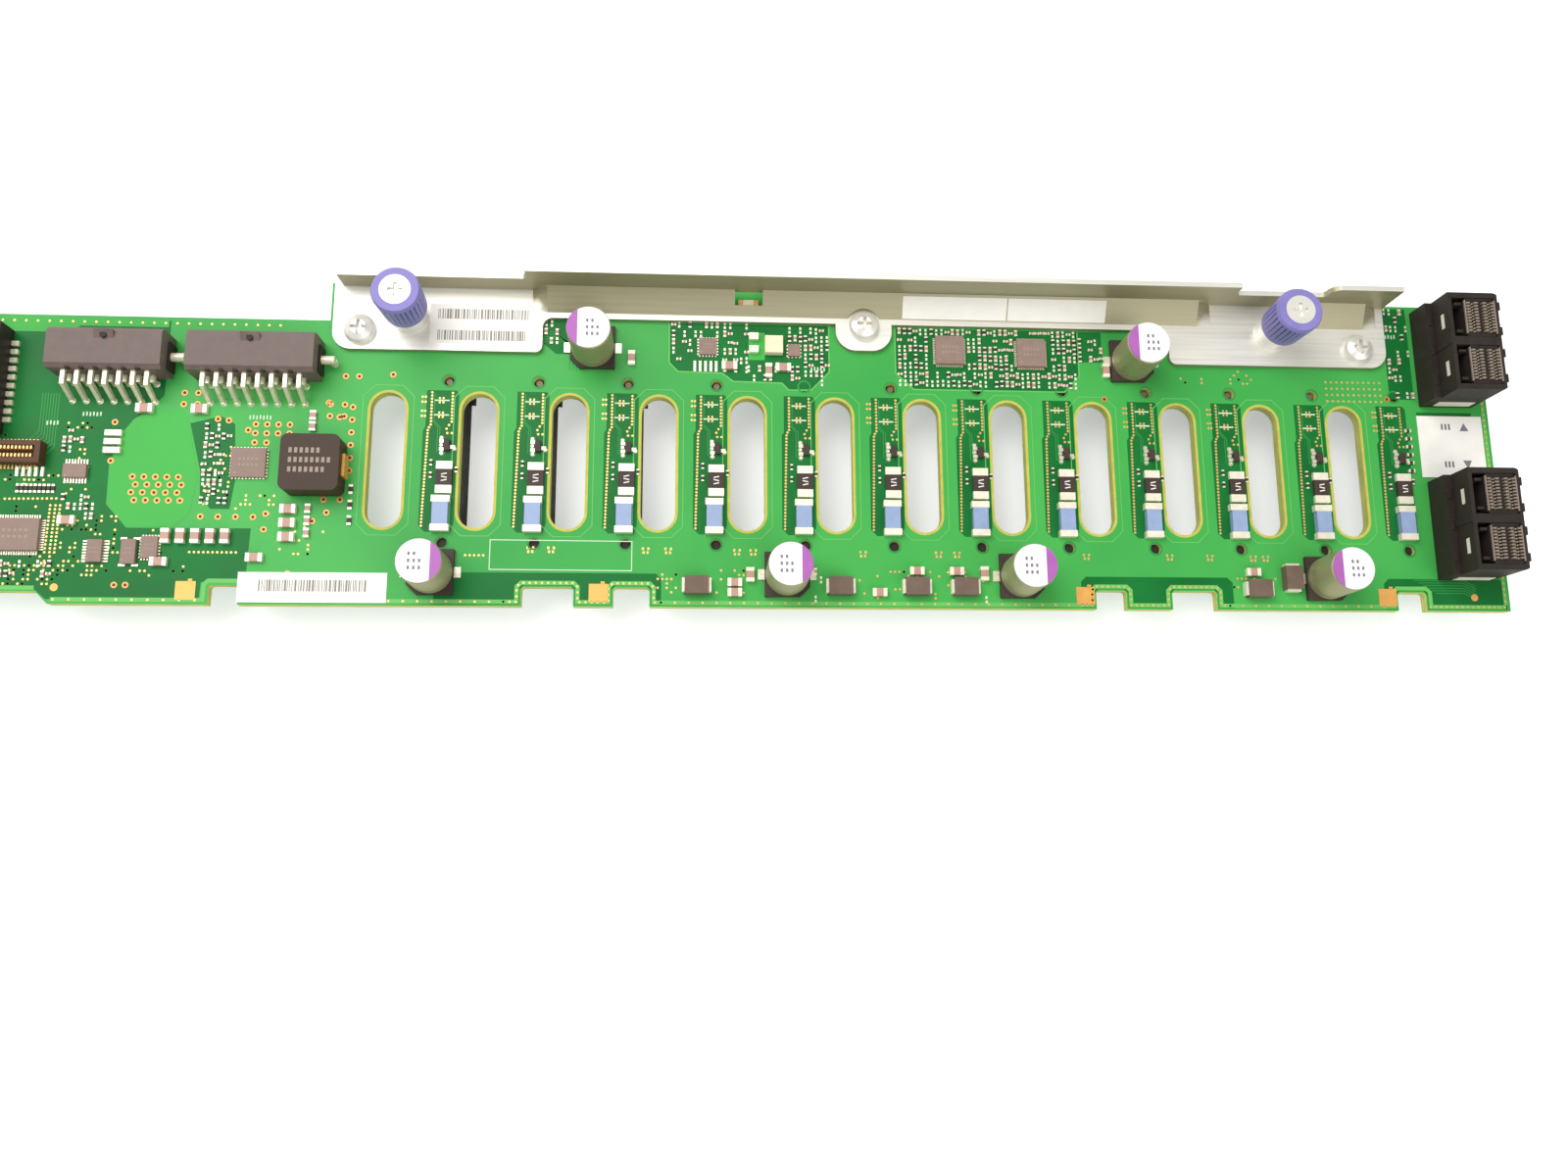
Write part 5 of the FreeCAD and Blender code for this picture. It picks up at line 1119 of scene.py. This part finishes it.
@dataclass
class Chips:
    """Leads and plain marks of the chips."""

    board: Board
    packages: tuple[Package, ...] = (
        Package(48.9, 24.0, 6.8, 6.8, 1.3, 16, 16, 0.5),
        Package(68.5, 23.7, 6.8, 6.8, 1.3, 16, 16, 0.5),
        Package(-159.2, -22.8, 9.8, 7.2, 1.3, 18, 13, 0.9),
        Package(-148.2, -8.2, 5.0, 3.1, 1.1, 8, 0, 1.2),
        Package(-142.3, -26.3, 3.2, 5.0, 1.1, 0, 8, 1.2),
        Package(-130.8, -25.4, 3.6, 4.9, 0.95, 6, 7, 0.4),
        Package(-111.0, -5.8, 7.6, 6.8, 0.95, 10, 9, 0.3),
        Package(-8.4, 23.9, 4.1, 4.0, 0.95, 6, 6, 0.4),
        Package(11.9, 23.3, 2.9, 2.8, 0.95, 4, 4, 0.3),
        Package(-135.1, -26.4, 3.1, 5.5, 1.1, 2, 0, 0.5),
    )
    lead_lift: float = 0.16
    lead_high: float = 0.3
    lead_share: float = 0.5
    pin_one: float = 0.28
    inductor_marks: tuple[tuple[float, int], ...] = ((2.6, 6), (0.4, 8), (-1.8, 7))

    def build(self) -> None:
        """Add the leads, the pin one dots and a faint mark on each chip."""
        leads, marks = Mould(), Mould()
        top = self.board.top
        lift = top + self.lead_lift
        for chip in self.packages:
            for count, along_x in ((chip.leads_x, True), (chip.leads_y, False)):
                if count == 0:
                    continue
                side = chip.long if along_x else chip.wide
                reach = (chip.wide if along_x else chip.long) / 2 + chip.reach / 2
                pitch = side * 0.9 / max(count - 1, 1)
                steps = (np.arange(count) - (count - 1) / 2) * pitch
                for sign in (-1, 1):
                    if along_x:
                        spots = [(chip.x + s, chip.y + reach * sign, lift) for s in steps]
                        size = (pitch * self.lead_share, chip.reach, self.lead_high)
                    else:
                        spots = [(chip.x + reach * sign, chip.y + s, lift) for s in steps]
                        size = (chip.reach, pitch * self.lead_share, self.lead_high)
                    leads.boxes(np.array(spots), size)
            high = top + chip.high
            marks.studs([(chip.x - chip.long * 0.36, chip.y - chip.wide * 0.36)],
                        self.pin_one, high - SINK, high + 0.03, 12)
            rows = 2 if chip.wide > 3.5 else 1
            for row in range(rows):
                marks.boxes([(chip.x + (i - 2) * chip.long * 0.12,
                              chip.y + (row - 0.4) * chip.wide * 0.2, high + 0.01)
                             for i in range(5)],
                            (chip.long * 0.07, chip.wide * 0.09, 0.04))
        leads.cast("chip_leads", TIN, "tin")
        low, high = span("power_inductor")
        middle = (low + high) / 2
        marks.boxes([(middle[0] - 4.2 + 1.2 * i, middle[1] + y, high[2] + 0.01)
                     for y, count in self.inductor_marks for i in range(count)],
                    (0.7, 1.2, 0.04))
        marks.cast("chip_marks", CHIP_INK, "resin_black")


# ---------------------------------------------------------------- bay parts


@dataclass
class BayParts:
    """Finer pieces on the parts that repeat in each bay."""

    board: Board
    shunt_y: float = -8.6
    strokes: tuple[tuple[float, float], ...] = ((-0.75, 12.0), (0.0, -12.0), (0.75, 12.0))
    stroke: tuple[float, float, float] = (1.3, 0.24, 0.04)
    switch: tuple[float, float, float] = (1.3, 2.6, 1.0)
    leg: tuple[float, float, float] = (1.0, 0.8, 0.4)
    joint: float = 0.62
    pad: tuple[float, float, float] = (0.42, 0.5, 0.12)
    pad_rows: tuple[float, float] = (9.8, 6.3)

    def build(self) -> None:
        """Add the switch, its legs, and the marks of the sense resistors."""
        marks, legs, bodies, dots = Mould(), Mould(), Mould(), Mould()
        high = span("sense_resistors")[1]
        top = self.board.top
        for x in self.board.columns():
            for shift, tilt in self.strokes:
                marks.boxes([(x + 0.05, self.shunt_y + shift, high[2] + 0.01)], self.stroke,
                            turn=tilt)
            bodies.boxes([(x + 0.3, -1.0, top + 0.55)], self.switch)
            legs.boxes([(x - 0.9, -1.9, top + 0.2), (x - 0.9, 0.0, top + 0.2),
                        (x + 1.6, -1.4, top + 0.2)], self.leg)
            legs.studs([(x - 1.0, 0.8), (x - 1.0, -0.9), (x - 0.9, -2.8)], self.joint, top,
                       top + 0.35, 8, 0.6)
            legs.studs([(x + 1.9, -1.7)], self.joint, top, top + 0.35, 8, 0.6)
            for y in self.pad_rows:
                dots.boxes([(x - 1.4 + self.pad[0] * i, y + self.pad[1] * j, top + 0.06)
                            for i in (-1, 1) for j in (-1, 1)], self.pad)
        dots.cast("bay_pad_groups", GOLD, "gold")
        marks.cast("resistor_marks", PAPER, "resin_black")
        piece = bodies.cast("bay_switch_bodies", RESIN_DARK, "resin_black", bevel=0.08)
        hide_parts("bay_switches")
        legs.cast("bay_switch_legs", SOLDER, "tin")


# ---------------------------------------------------------------- capacitors


@dataclass
class CanCapacitors:
    """Printed tops of the six polymer capacitors."""

    board: Board
    places: tuple[tuple[float, float, int], ...] = (
        (-35.1, 23.1, -1), (93.0, 22.2, -1), (-69.8, -30.5, 1), (9.9, -30.5, 1),
        (64.0, -30.5, 1), (136.6, -30.6, -1))
    radius: float = 4.85
    segment: float = 0.50
    mark: tuple[float, float, float] = (0.5, 0.75, 0.04)
    mark_pitch: tuple[float, float] = (1.15, 1.55)
    mark_shift: float = 0.9

    def build(self) -> None:
        """Add the white disc, the violet segment and generic marks on each can."""
        white, violet, marks = Mould(), Mould(), Mould()
        high = float(span("capacitor_cans")[1][2])
        angle = np.linspace(-math.acos(self.segment), math.acos(self.segment), 25)
        arc = np.stack([np.cos(angle), np.sin(angle)], axis=1) * (self.radius + 0.02)
        for x, y, side in self.places:
            white.lathe([(self.radius - 0.1, high - 0.3), (self.radius, high - 0.12),
                         (self.radius - 0.12, high + 0.04), (0.01, high + 0.05)], (x, y), 48)
            violet.prism(arc * (side, 1) + (x, y), high - 0.1, high + 0.07)
            start, (across, along_y) = x - side * self.mark_shift, self.mark_pitch
            for row in range(3):
                marks.boxes([(start + (i - 1) * across, y + (1 - row) * along_y, high + 0.06)
                             for i in range(3 if row else 2)], self.mark)
        white.cast("can_tops", CAN_TOP, "capacitor_can", smooth=False)
        violet.cast("can_segments", VIOLET, "capacitor_can")
        marks.cast("can_marks", INK, "capacitor_can")


# ---------------------------------------------------------------- connectors


@dataclass
class DataConnectors:
    """Contact combs, ribs and pale latches of the two data connectors."""

    board: Board
    teeth: int = 10
    ledge: float = 1.7
    port_pitch: float = 11.7
    right_step: float = 0.5
    wall: float = 0.9
    core_wide: float = 7.4
    tooth_pitch: float = 0.76
    slot_shift: float = 2.0
    tooth: tuple[float, float, float] = (0.9, 0.34, 0.8)
    blade: tuple[float, float, float] = (0.16, 0.30, 2.6)
    mezzanine_pitch: float = 0.8

    def build(self) -> None:
        """Fill the card slots with contacts and add the mouldings' ribs."""
        combs, contacts, pale, ribs = Mould(), Mould(), Mould(), Mould()
        for node in ("data_connector_front", "data_connector_rear"):
            low, high = span(node)
            middle = (low[1] + high[1]) / 2
            shell = low[0] + self.ledge
            for side in (-1, 1):
                y = middle + self.port_pitch / 2 * side
                core = high[0] - self.right_step - self.wall - self.core_wide / 2
                for slot in (-self.slot_shift, self.slot_shift):
                    steps = (np.arange(self.teeth) - (self.teeth - 1) / 2) * self.tooth_pitch
                    for lip in (-0.95, 0.95):
                        combs.boxes([(core + slot + lip, y + s, high[2] + 0.05) for s in steps],
                                    self.tooth)
                    for lip in (-0.45, 0.45):
                        contacts.boxes([(core + slot + lip, y + s, high[2] - 1.6)
                                        for s in steps], self.blade)
                combs.boxes([(core + 3.6 * k, y, high[2] + 0.02) for k in (-1, 1)],
                            (0.3, 8.2, 0.4))
                pale.boxes([(shell + 0.4, y, high[2] - 2.9)], (0.3, 3.6, 1.5))
                ribs.boxes([(core - 5.1, y + 3.4 * k, high[2] - 3.0) for k in (-1, 1)],
                           (1.6, 0.7, 5.4))
                ribs.boxes([(core, y + 4.45 * k, high[2] - 0.5) for k in (-1, 1)],
                           (6.8, 0.5, 0.8))
                ribs.boxes([(high[0] - 0.1, y + 3.1 * k, high[2] - 2.6) for k in (-1, 1)],
                           (0.9, 2.0, 4.4))
            ribs.boxes([(shell - 0.8, middle + 7.5 * k, low[2] + 6.5) for k in (-1, 0, 1)],
                       (1.0, 2.6, 0.5))
            ribs.boxes([(shell + 0.3, middle, high[2] - 3.4)], (1.0, 1.6, 6.6))
            pale.boxes([(low[0] + 7.2, low[1] - 0.05, low[2] + 2.6)], (9.0, 0.2, 2.6))
        self.mezzanine()
        combs.cast("contact_combs", COMB, "black_nylon")
        contacts.cast("contact_blades", TIN, "tin")
        pale.cast("latch_springs", PALE, "white_nylon")
        ribs.cast("connector_ribs", NYLON, "black_nylon", bevel=0.1)

    def mezzanine(self) -> None:
        """Gold contacts along both walls of the mezzanine connector and its feet."""
        low, high = span("mezzanine_connector")
        middle = (low[1] + high[1]) / 2
        columns = np.arange(low[0] + 1.8, high[0] - 1.4, self.mezzanine_pitch)
        contacts = Mould()
        for side in (-1, 1):
            contacts.boxes([(x, middle + 0.9 * side, high[2] - 0.9) for x in columns],
                           (0.36, 0.7, 1.5))
            contacts.boxes([(x, middle + (high[1] - middle + 0.4) * side, low[2] + 0.15)
                            for x in columns], (0.36, 1.1, 0.3))
        contacts.cast("mezzanine_contacts", GOLD, "gold")


@dataclass
class PowerHeaders:
    """Solder joints, keys and peg joints of the two power headers."""

    board: Board
    headers: tuple[tuple[float, int], ...] = ((-141.7, 7), (-110.2, 8))
    pitch: float = 3.0
    tail_rows: tuple[float, float] = (1.2, 5.4)
    high: float = 7.4

    def build(self) -> None:
        """Add the joints behind each header and the details on its top."""
        joints, keys, pegs = Mould(), Mould(), Mould()
        top = self.board.top
        low, high = span("power_header_left")
        back, front, roof = low[1], high[1], top + self.high
        for mid, count in self.headers:
            columns = mid + (np.arange(count) - (count - 1) / 2) * self.pitch
            tails = [(x, back - d) for x in columns for d in self.tail_rows]
            joints.studs(np.array(tails), 0.85, top - SINK, top + 0.55, 14, 0.45)
            joints.studs(np.array(tails), 0.5, self.board.under - 0.7,
                         self.board.under + SINK, 14, 1.8)
            keys.boxes([(x + self.pitch / 2, back - 0.12, top + 6.6)
                        for x in columns[:-1]], (0.9, 0.35, 1.2))
            keys.boxes([(mid + self.pitch * count / 2 + 2.1, back + 4.3, top + 2.2)],
                       (0.6, 6.4, 3.6))
            keys.studs([(mid, front - 2.0)], 0.75, roof, roof + 0.6, 16)
            pegs.studs([(mid + self.pitch * count / 2 + 4.6, back + 4.3)], 0.9, top - SINK,
                       top + 1.2, 16)
        joints.cast("power_solder_joints", SOLDER, "tin", smooth=False)
        keys.cast("power_header_keys", NYLON, "black_nylon", bevel=0.08)
        pegs.cast("power_peg_joints", SOLDER, "tin")


@dataclass
class Labels:
    """Generic bars and arrows on the labels, and the blank labels on the bracket's slope."""

    board: Board
    slope_labels: tuple[tuple[float, float], ...] = ((37.6, 62.6), (62.9, 86.7))
    slope_low: tuple[float, float] = (31.3, 1.2)
    slope_high: tuple[float, float] = (36.5, 3.85)
    paper: float = 0.16
    ink: float = 0.03
    tab_foot: float = 1.2
    code_bars: tuple[float, ...] = (0.16, 0.16, 0.28, 0.42)
    code_gaps: tuple[float, ...] = (0.18, 0.3, 0.42)
    random: np.random.Generator = field(default_factory=lambda: np.random.default_rng(5))

    def bars(self, mould: Mould, x0: float, x1: float, y: float, tall: float,
             z: float) -> None:
        """Add upright bars of uneven width between two ends."""
        x = x0
        while x < x1:
            wide = float(self.random.choice(self.code_bars))
            mould.boxes([(x + wide / 2, y, z)], (wide, tall, self.ink))
            x += wide + float(self.random.choice(self.code_gaps))

    def on_slope(self, left: float, right: float) -> Mould:
        """Lay a thin sheet on the slope between two columns.

        Args:
            left: left end of the sheet.
            right: right end of the sheet.

        Returns:
            A mould that holds the sheet, 0.1 mm thick along the slope's normal.
        """
        (y0, z0), (y1, z1) = self.slope_low, self.slope_high
        run = np.array((y1 - y0, z1 - z0))
        normal = np.array((-run[1], run[0])) / np.linalg.norm(run)
        foot = np.array((y0, z0 + self.board.top)) + run * 0.05
        head = np.array((y0, z0 + self.board.top)) + run * 0.95
        section = [foot + normal * 0.01, head + normal * 0.01, head + normal * 0.11,
                   foot + normal * 0.11]
        points = [(x, y, z) for x in (left, right) for y, z in section]
        sheet = Mould()
        sheet.shell(np.array(points), [[0, 1, 2, 3], [7, 6, 5, 4], [0, 4, 5, 1], [1, 5, 6, 2],
                                       [2, 6, 7, 3], [3, 7, 4, 0]])
        return sheet

    def build(self) -> None:
        """Print each label."""
        ink, grey = Mould(), Mould()
        z = self.board.top + self.paper
        self.bars(ink, -107.0, -83.6, -33.7, 2.6, z)
        for y in (30.4, 25.2):
            self.bars(ink, -70.6, -50.2, y, 2.4, z + self.tab_foot)
        for base, tip in ((6.2, 8.2), (-1.2, -3.2)):
            grey.prism([(173.4, base), (175.6, base), (174.5, tip)], z, z + self.ink)
        grey.boxes([(169.0 + 0.9 * i, y, z) for i in range(3) for y in (7.2, -2.2)],
                   (0.5, 1.5, self.ink))
        for number, (left, right) in enumerate(self.slope_labels, start=1):
            self.on_slope(left, right).cast(f"slope_label_{number}", PAPER, "label_white")
        ink.cast("label_bars", BLACK_INK, "label_white")
        grey.cast("label_arrows", INK, "label_white")


# ---------------------------------------------------------------- stage


@dataclass
class ReceptacleContacts:
    """Gold contacts on both walls of the blade slots of the drive receptacles."""

    signal_long: float = 11.2
    power_long: float = 19.6
    key: float = 2.2
    slot_wide: float = 2.6
    pitch: float = 1.27
    contact: tuple[float, float, float] = (0.2, 0.55, 3.8)
    mouth_inset: float = 0.9

    def build(self) -> None:
        """Line the walls of each slot with contacts at an even pitch."""
        mould = Mould()
        tall = self.contact[2]
        for low, high in solid_boxes("drive_receptacles"):
            x, y = (low[0] + high[0]) / 2, (low[1] + high[1]) / 2
            start = y - (self.signal_long + self.key + self.power_long) / 2
            rows = [np.arange(start + 0.9, start + self.signal_long - 0.6, self.pitch),
                    np.arange(start + self.signal_long + self.key + 0.9,
                              start + self.signal_long + self.key + self.power_long - 0.6,
                              self.pitch)]
            for side in (-1, 1):
                wall = x + side * (self.slot_wide / 2 - self.contact[0] / 2)
                mould.boxes([(wall, row, low[2] + self.mouth_inset + tall / 2)
                             for row in np.concatenate(rows)], self.contact)
        mould.cast("receptacle_contacts", GOLD, "gold")


@dataclass
class ThumbscrewSprings:
    """Wire springs that lift the captive thumbscrews and close up when these are pressed; each is
    built as one fixed coil, which does not close up.
    """

    wire: float = 0.29  # radius
    turns: float = 5.0
    travel: float = 4.2  # how far a thumbscrew is pressed down

    def build(self) -> None:
        """Coil a round wire in the place of each packed spring."""
        for side in ("left", "right"):
            low, high = span(f"{side}_spring")
            centre = (low + high) / 2
            radius = float(high[0] - low[0]) / 2 - self.wire
            mould = Mould()
            mould.coil(centre, radius, self.wire, float(low[2]) + self.wire,
                       float(high[2]) - self.wire, self.turns)
            piece = mould.cast(f"{side}_spring_coil", WIRE, "spring_steel", smooth=True)
            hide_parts(f"{side}_spring")
            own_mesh(piece)


@dataclass
class Stage:
    """Floor, lights and camera."""

    camera_at: tuple[float, float, float] = (-9.79, -86.27, 285.37)
    camera_tilt: tuple[float, float, float] = (10.9385, -3.9021, 0.3668)
    lens: float = 28.185
    sensor: float = 36.0
    glow: float = 0.42
    floor_reach: float = 2.0
    lamps: tuple[tuple[str, tuple[float, float, float], float, float], ...] = (
        ("key", (-0.35, 0.30, 0.70), 0.7, 6.0), ("fill", (0.45, -0.55, 0.65), 0.9, 3.6))
    room_tone: tuple[float, float, float, float] = (1.0, 0.98, 0.94, 1.0)
    room_strength: float = 0.48

    def floor(self) -> None:
        """Lay a pale floor that looks white to the camera and keeps its shadow."""
        size = self.floor_reach
        mesh = bpy.data.meshes.new("floor")
        mesh.from_pydata([(-size, -size, 0), (size, -size, 0), (size, size, 0),
                          (-size, size, 0)], [], [(0, 1, 2, 3)])
        piece = bpy.data.objects.new("floor", mesh)
        bpy.context.scene.collection.objects.link(piece)
        mesh.materials.append(self.white_to_camera())

    def white_to_camera(self) -> bpy.types.Material:
        """Make the floor's material: plain pale, with a glow that only camera rays see."""
        material = Finish("studio_floor", (0.96, 0.96, 0.95), 0.9, wander=0.01).build()
        tree = material.node_tree
        shader = next(n for n in tree.nodes if n.type == "BSDF_PRINCIPLED")
        path = tree.nodes.new("ShaderNodeLightPath")
        glow = tree.nodes.new("ShaderNodeMath")
        glow.operation = "MULTIPLY"
        glow.inputs[1].default_value = self.glow
        tree.links.new(path.outputs["Is Camera Ray"], glow.inputs[0])
        tree.links.new(glow.outputs["Value"], shader.inputs["Emission Strength"])
        shader.inputs["Emission Color"].default_value = (1.0, 1.0, 1.0, 1.0)
        return material

    def lights(self) -> None:
        """Hang two soft lamps over the board and fill the room with pale light.

        Camera rays see a white backdrop, and all other rays see the room's own light.
        """
        for name, place, size, power in self.lamps:
            lamp = bpy.data.lights.new(name, "AREA")
            lamp.energy = power
            lamp.size = size
            light = bpy.data.objects.new(name, lamp)
            light.location = place
            aim = Vector((0.0, 0.0, 0.01)) - Vector(place)
            light.rotation_euler = aim.to_track_quat("-Z", "Y").to_euler()
            bpy.context.scene.collection.objects.link(light)
        world = bpy.data.worlds.new("room")
        world.use_nodes = True
        tree = world.node_tree
        room = tree.nodes["Background"]
        room.inputs["Color"].default_value = self.room_tone
        room.inputs["Strength"].default_value = self.room_strength
        backdrop = tree.nodes.new("ShaderNodeBackground")
        backdrop.inputs["Color"].default_value = (1.0, 1.0, 1.0, 1.0)
        path = tree.nodes.new("ShaderNodeLightPath")
        blend = tree.nodes.new("ShaderNodeMixShader")
        tree.links.new(path.outputs["Is Camera Ray"], blend.inputs[0])
        tree.links.new(room.outputs["Background"], blend.inputs[1])
        tree.links.new(backdrop.outputs["Background"], blend.inputs[2])
        tree.links.new(blend.outputs["Shader"], tree.nodes["World Output"].inputs["Surface"])
        bpy.context.scene.world = world

    def camera(self) -> None:
        """Set the camera over the front edge, tilted back a little."""
        data = bpy.data.cameras.new("camera")
        data.lens = self.lens
        data.sensor_width = self.sensor
        data.clip_start = 0.01
        eye = bpy.data.objects.new("camera", data)
        eye.location = Vector(self.camera_at) * MM
        eye.rotation_mode = "ZYX"
        eye.rotation_euler = Euler([math.radians(a) for a in self.camera_tilt], "ZYX")
        bpy.context.scene.collection.objects.link(eye)
        bpy.context.scene.camera = eye

    def build(self) -> None:
        """Set everything up."""
        self.floor()
        self.lights()
        self.camera()
        bpy.context.scene.view_settings.view_transform = "Standard"


def dress_solids() -> None:
    """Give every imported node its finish."""
    finishes: dict[str, Finish | BrushedSheet | MaskedLaminate] = {"board": MASK, **CAD_FINISHES}
    for name, finish in finishes.items():
        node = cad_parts[name]
        node.data.materials.clear()
        node.data.materials.append(finish.build())
        log.info("%s takes %s", name, finish.name)


def main() -> None:
    """Build the looks in order, from the board up."""
    logging.basicConfig(level=logging.INFO, format="%(name)s: %(message)s")
    board = Board()
    dress_solids()
    for group in (Artwork(board), ChipParts(board), Chips(board), BayParts(board),
                  CanCapacitors(board), DataConnectors(board), PowerHeaders(board),
                  Labels(board), ReceptacleContacts(), ThumbscrewSprings(), Stage()):
        group.build()
        log.info("%s done", type(group).__name__)


if __name__ == "__main__":
    main()
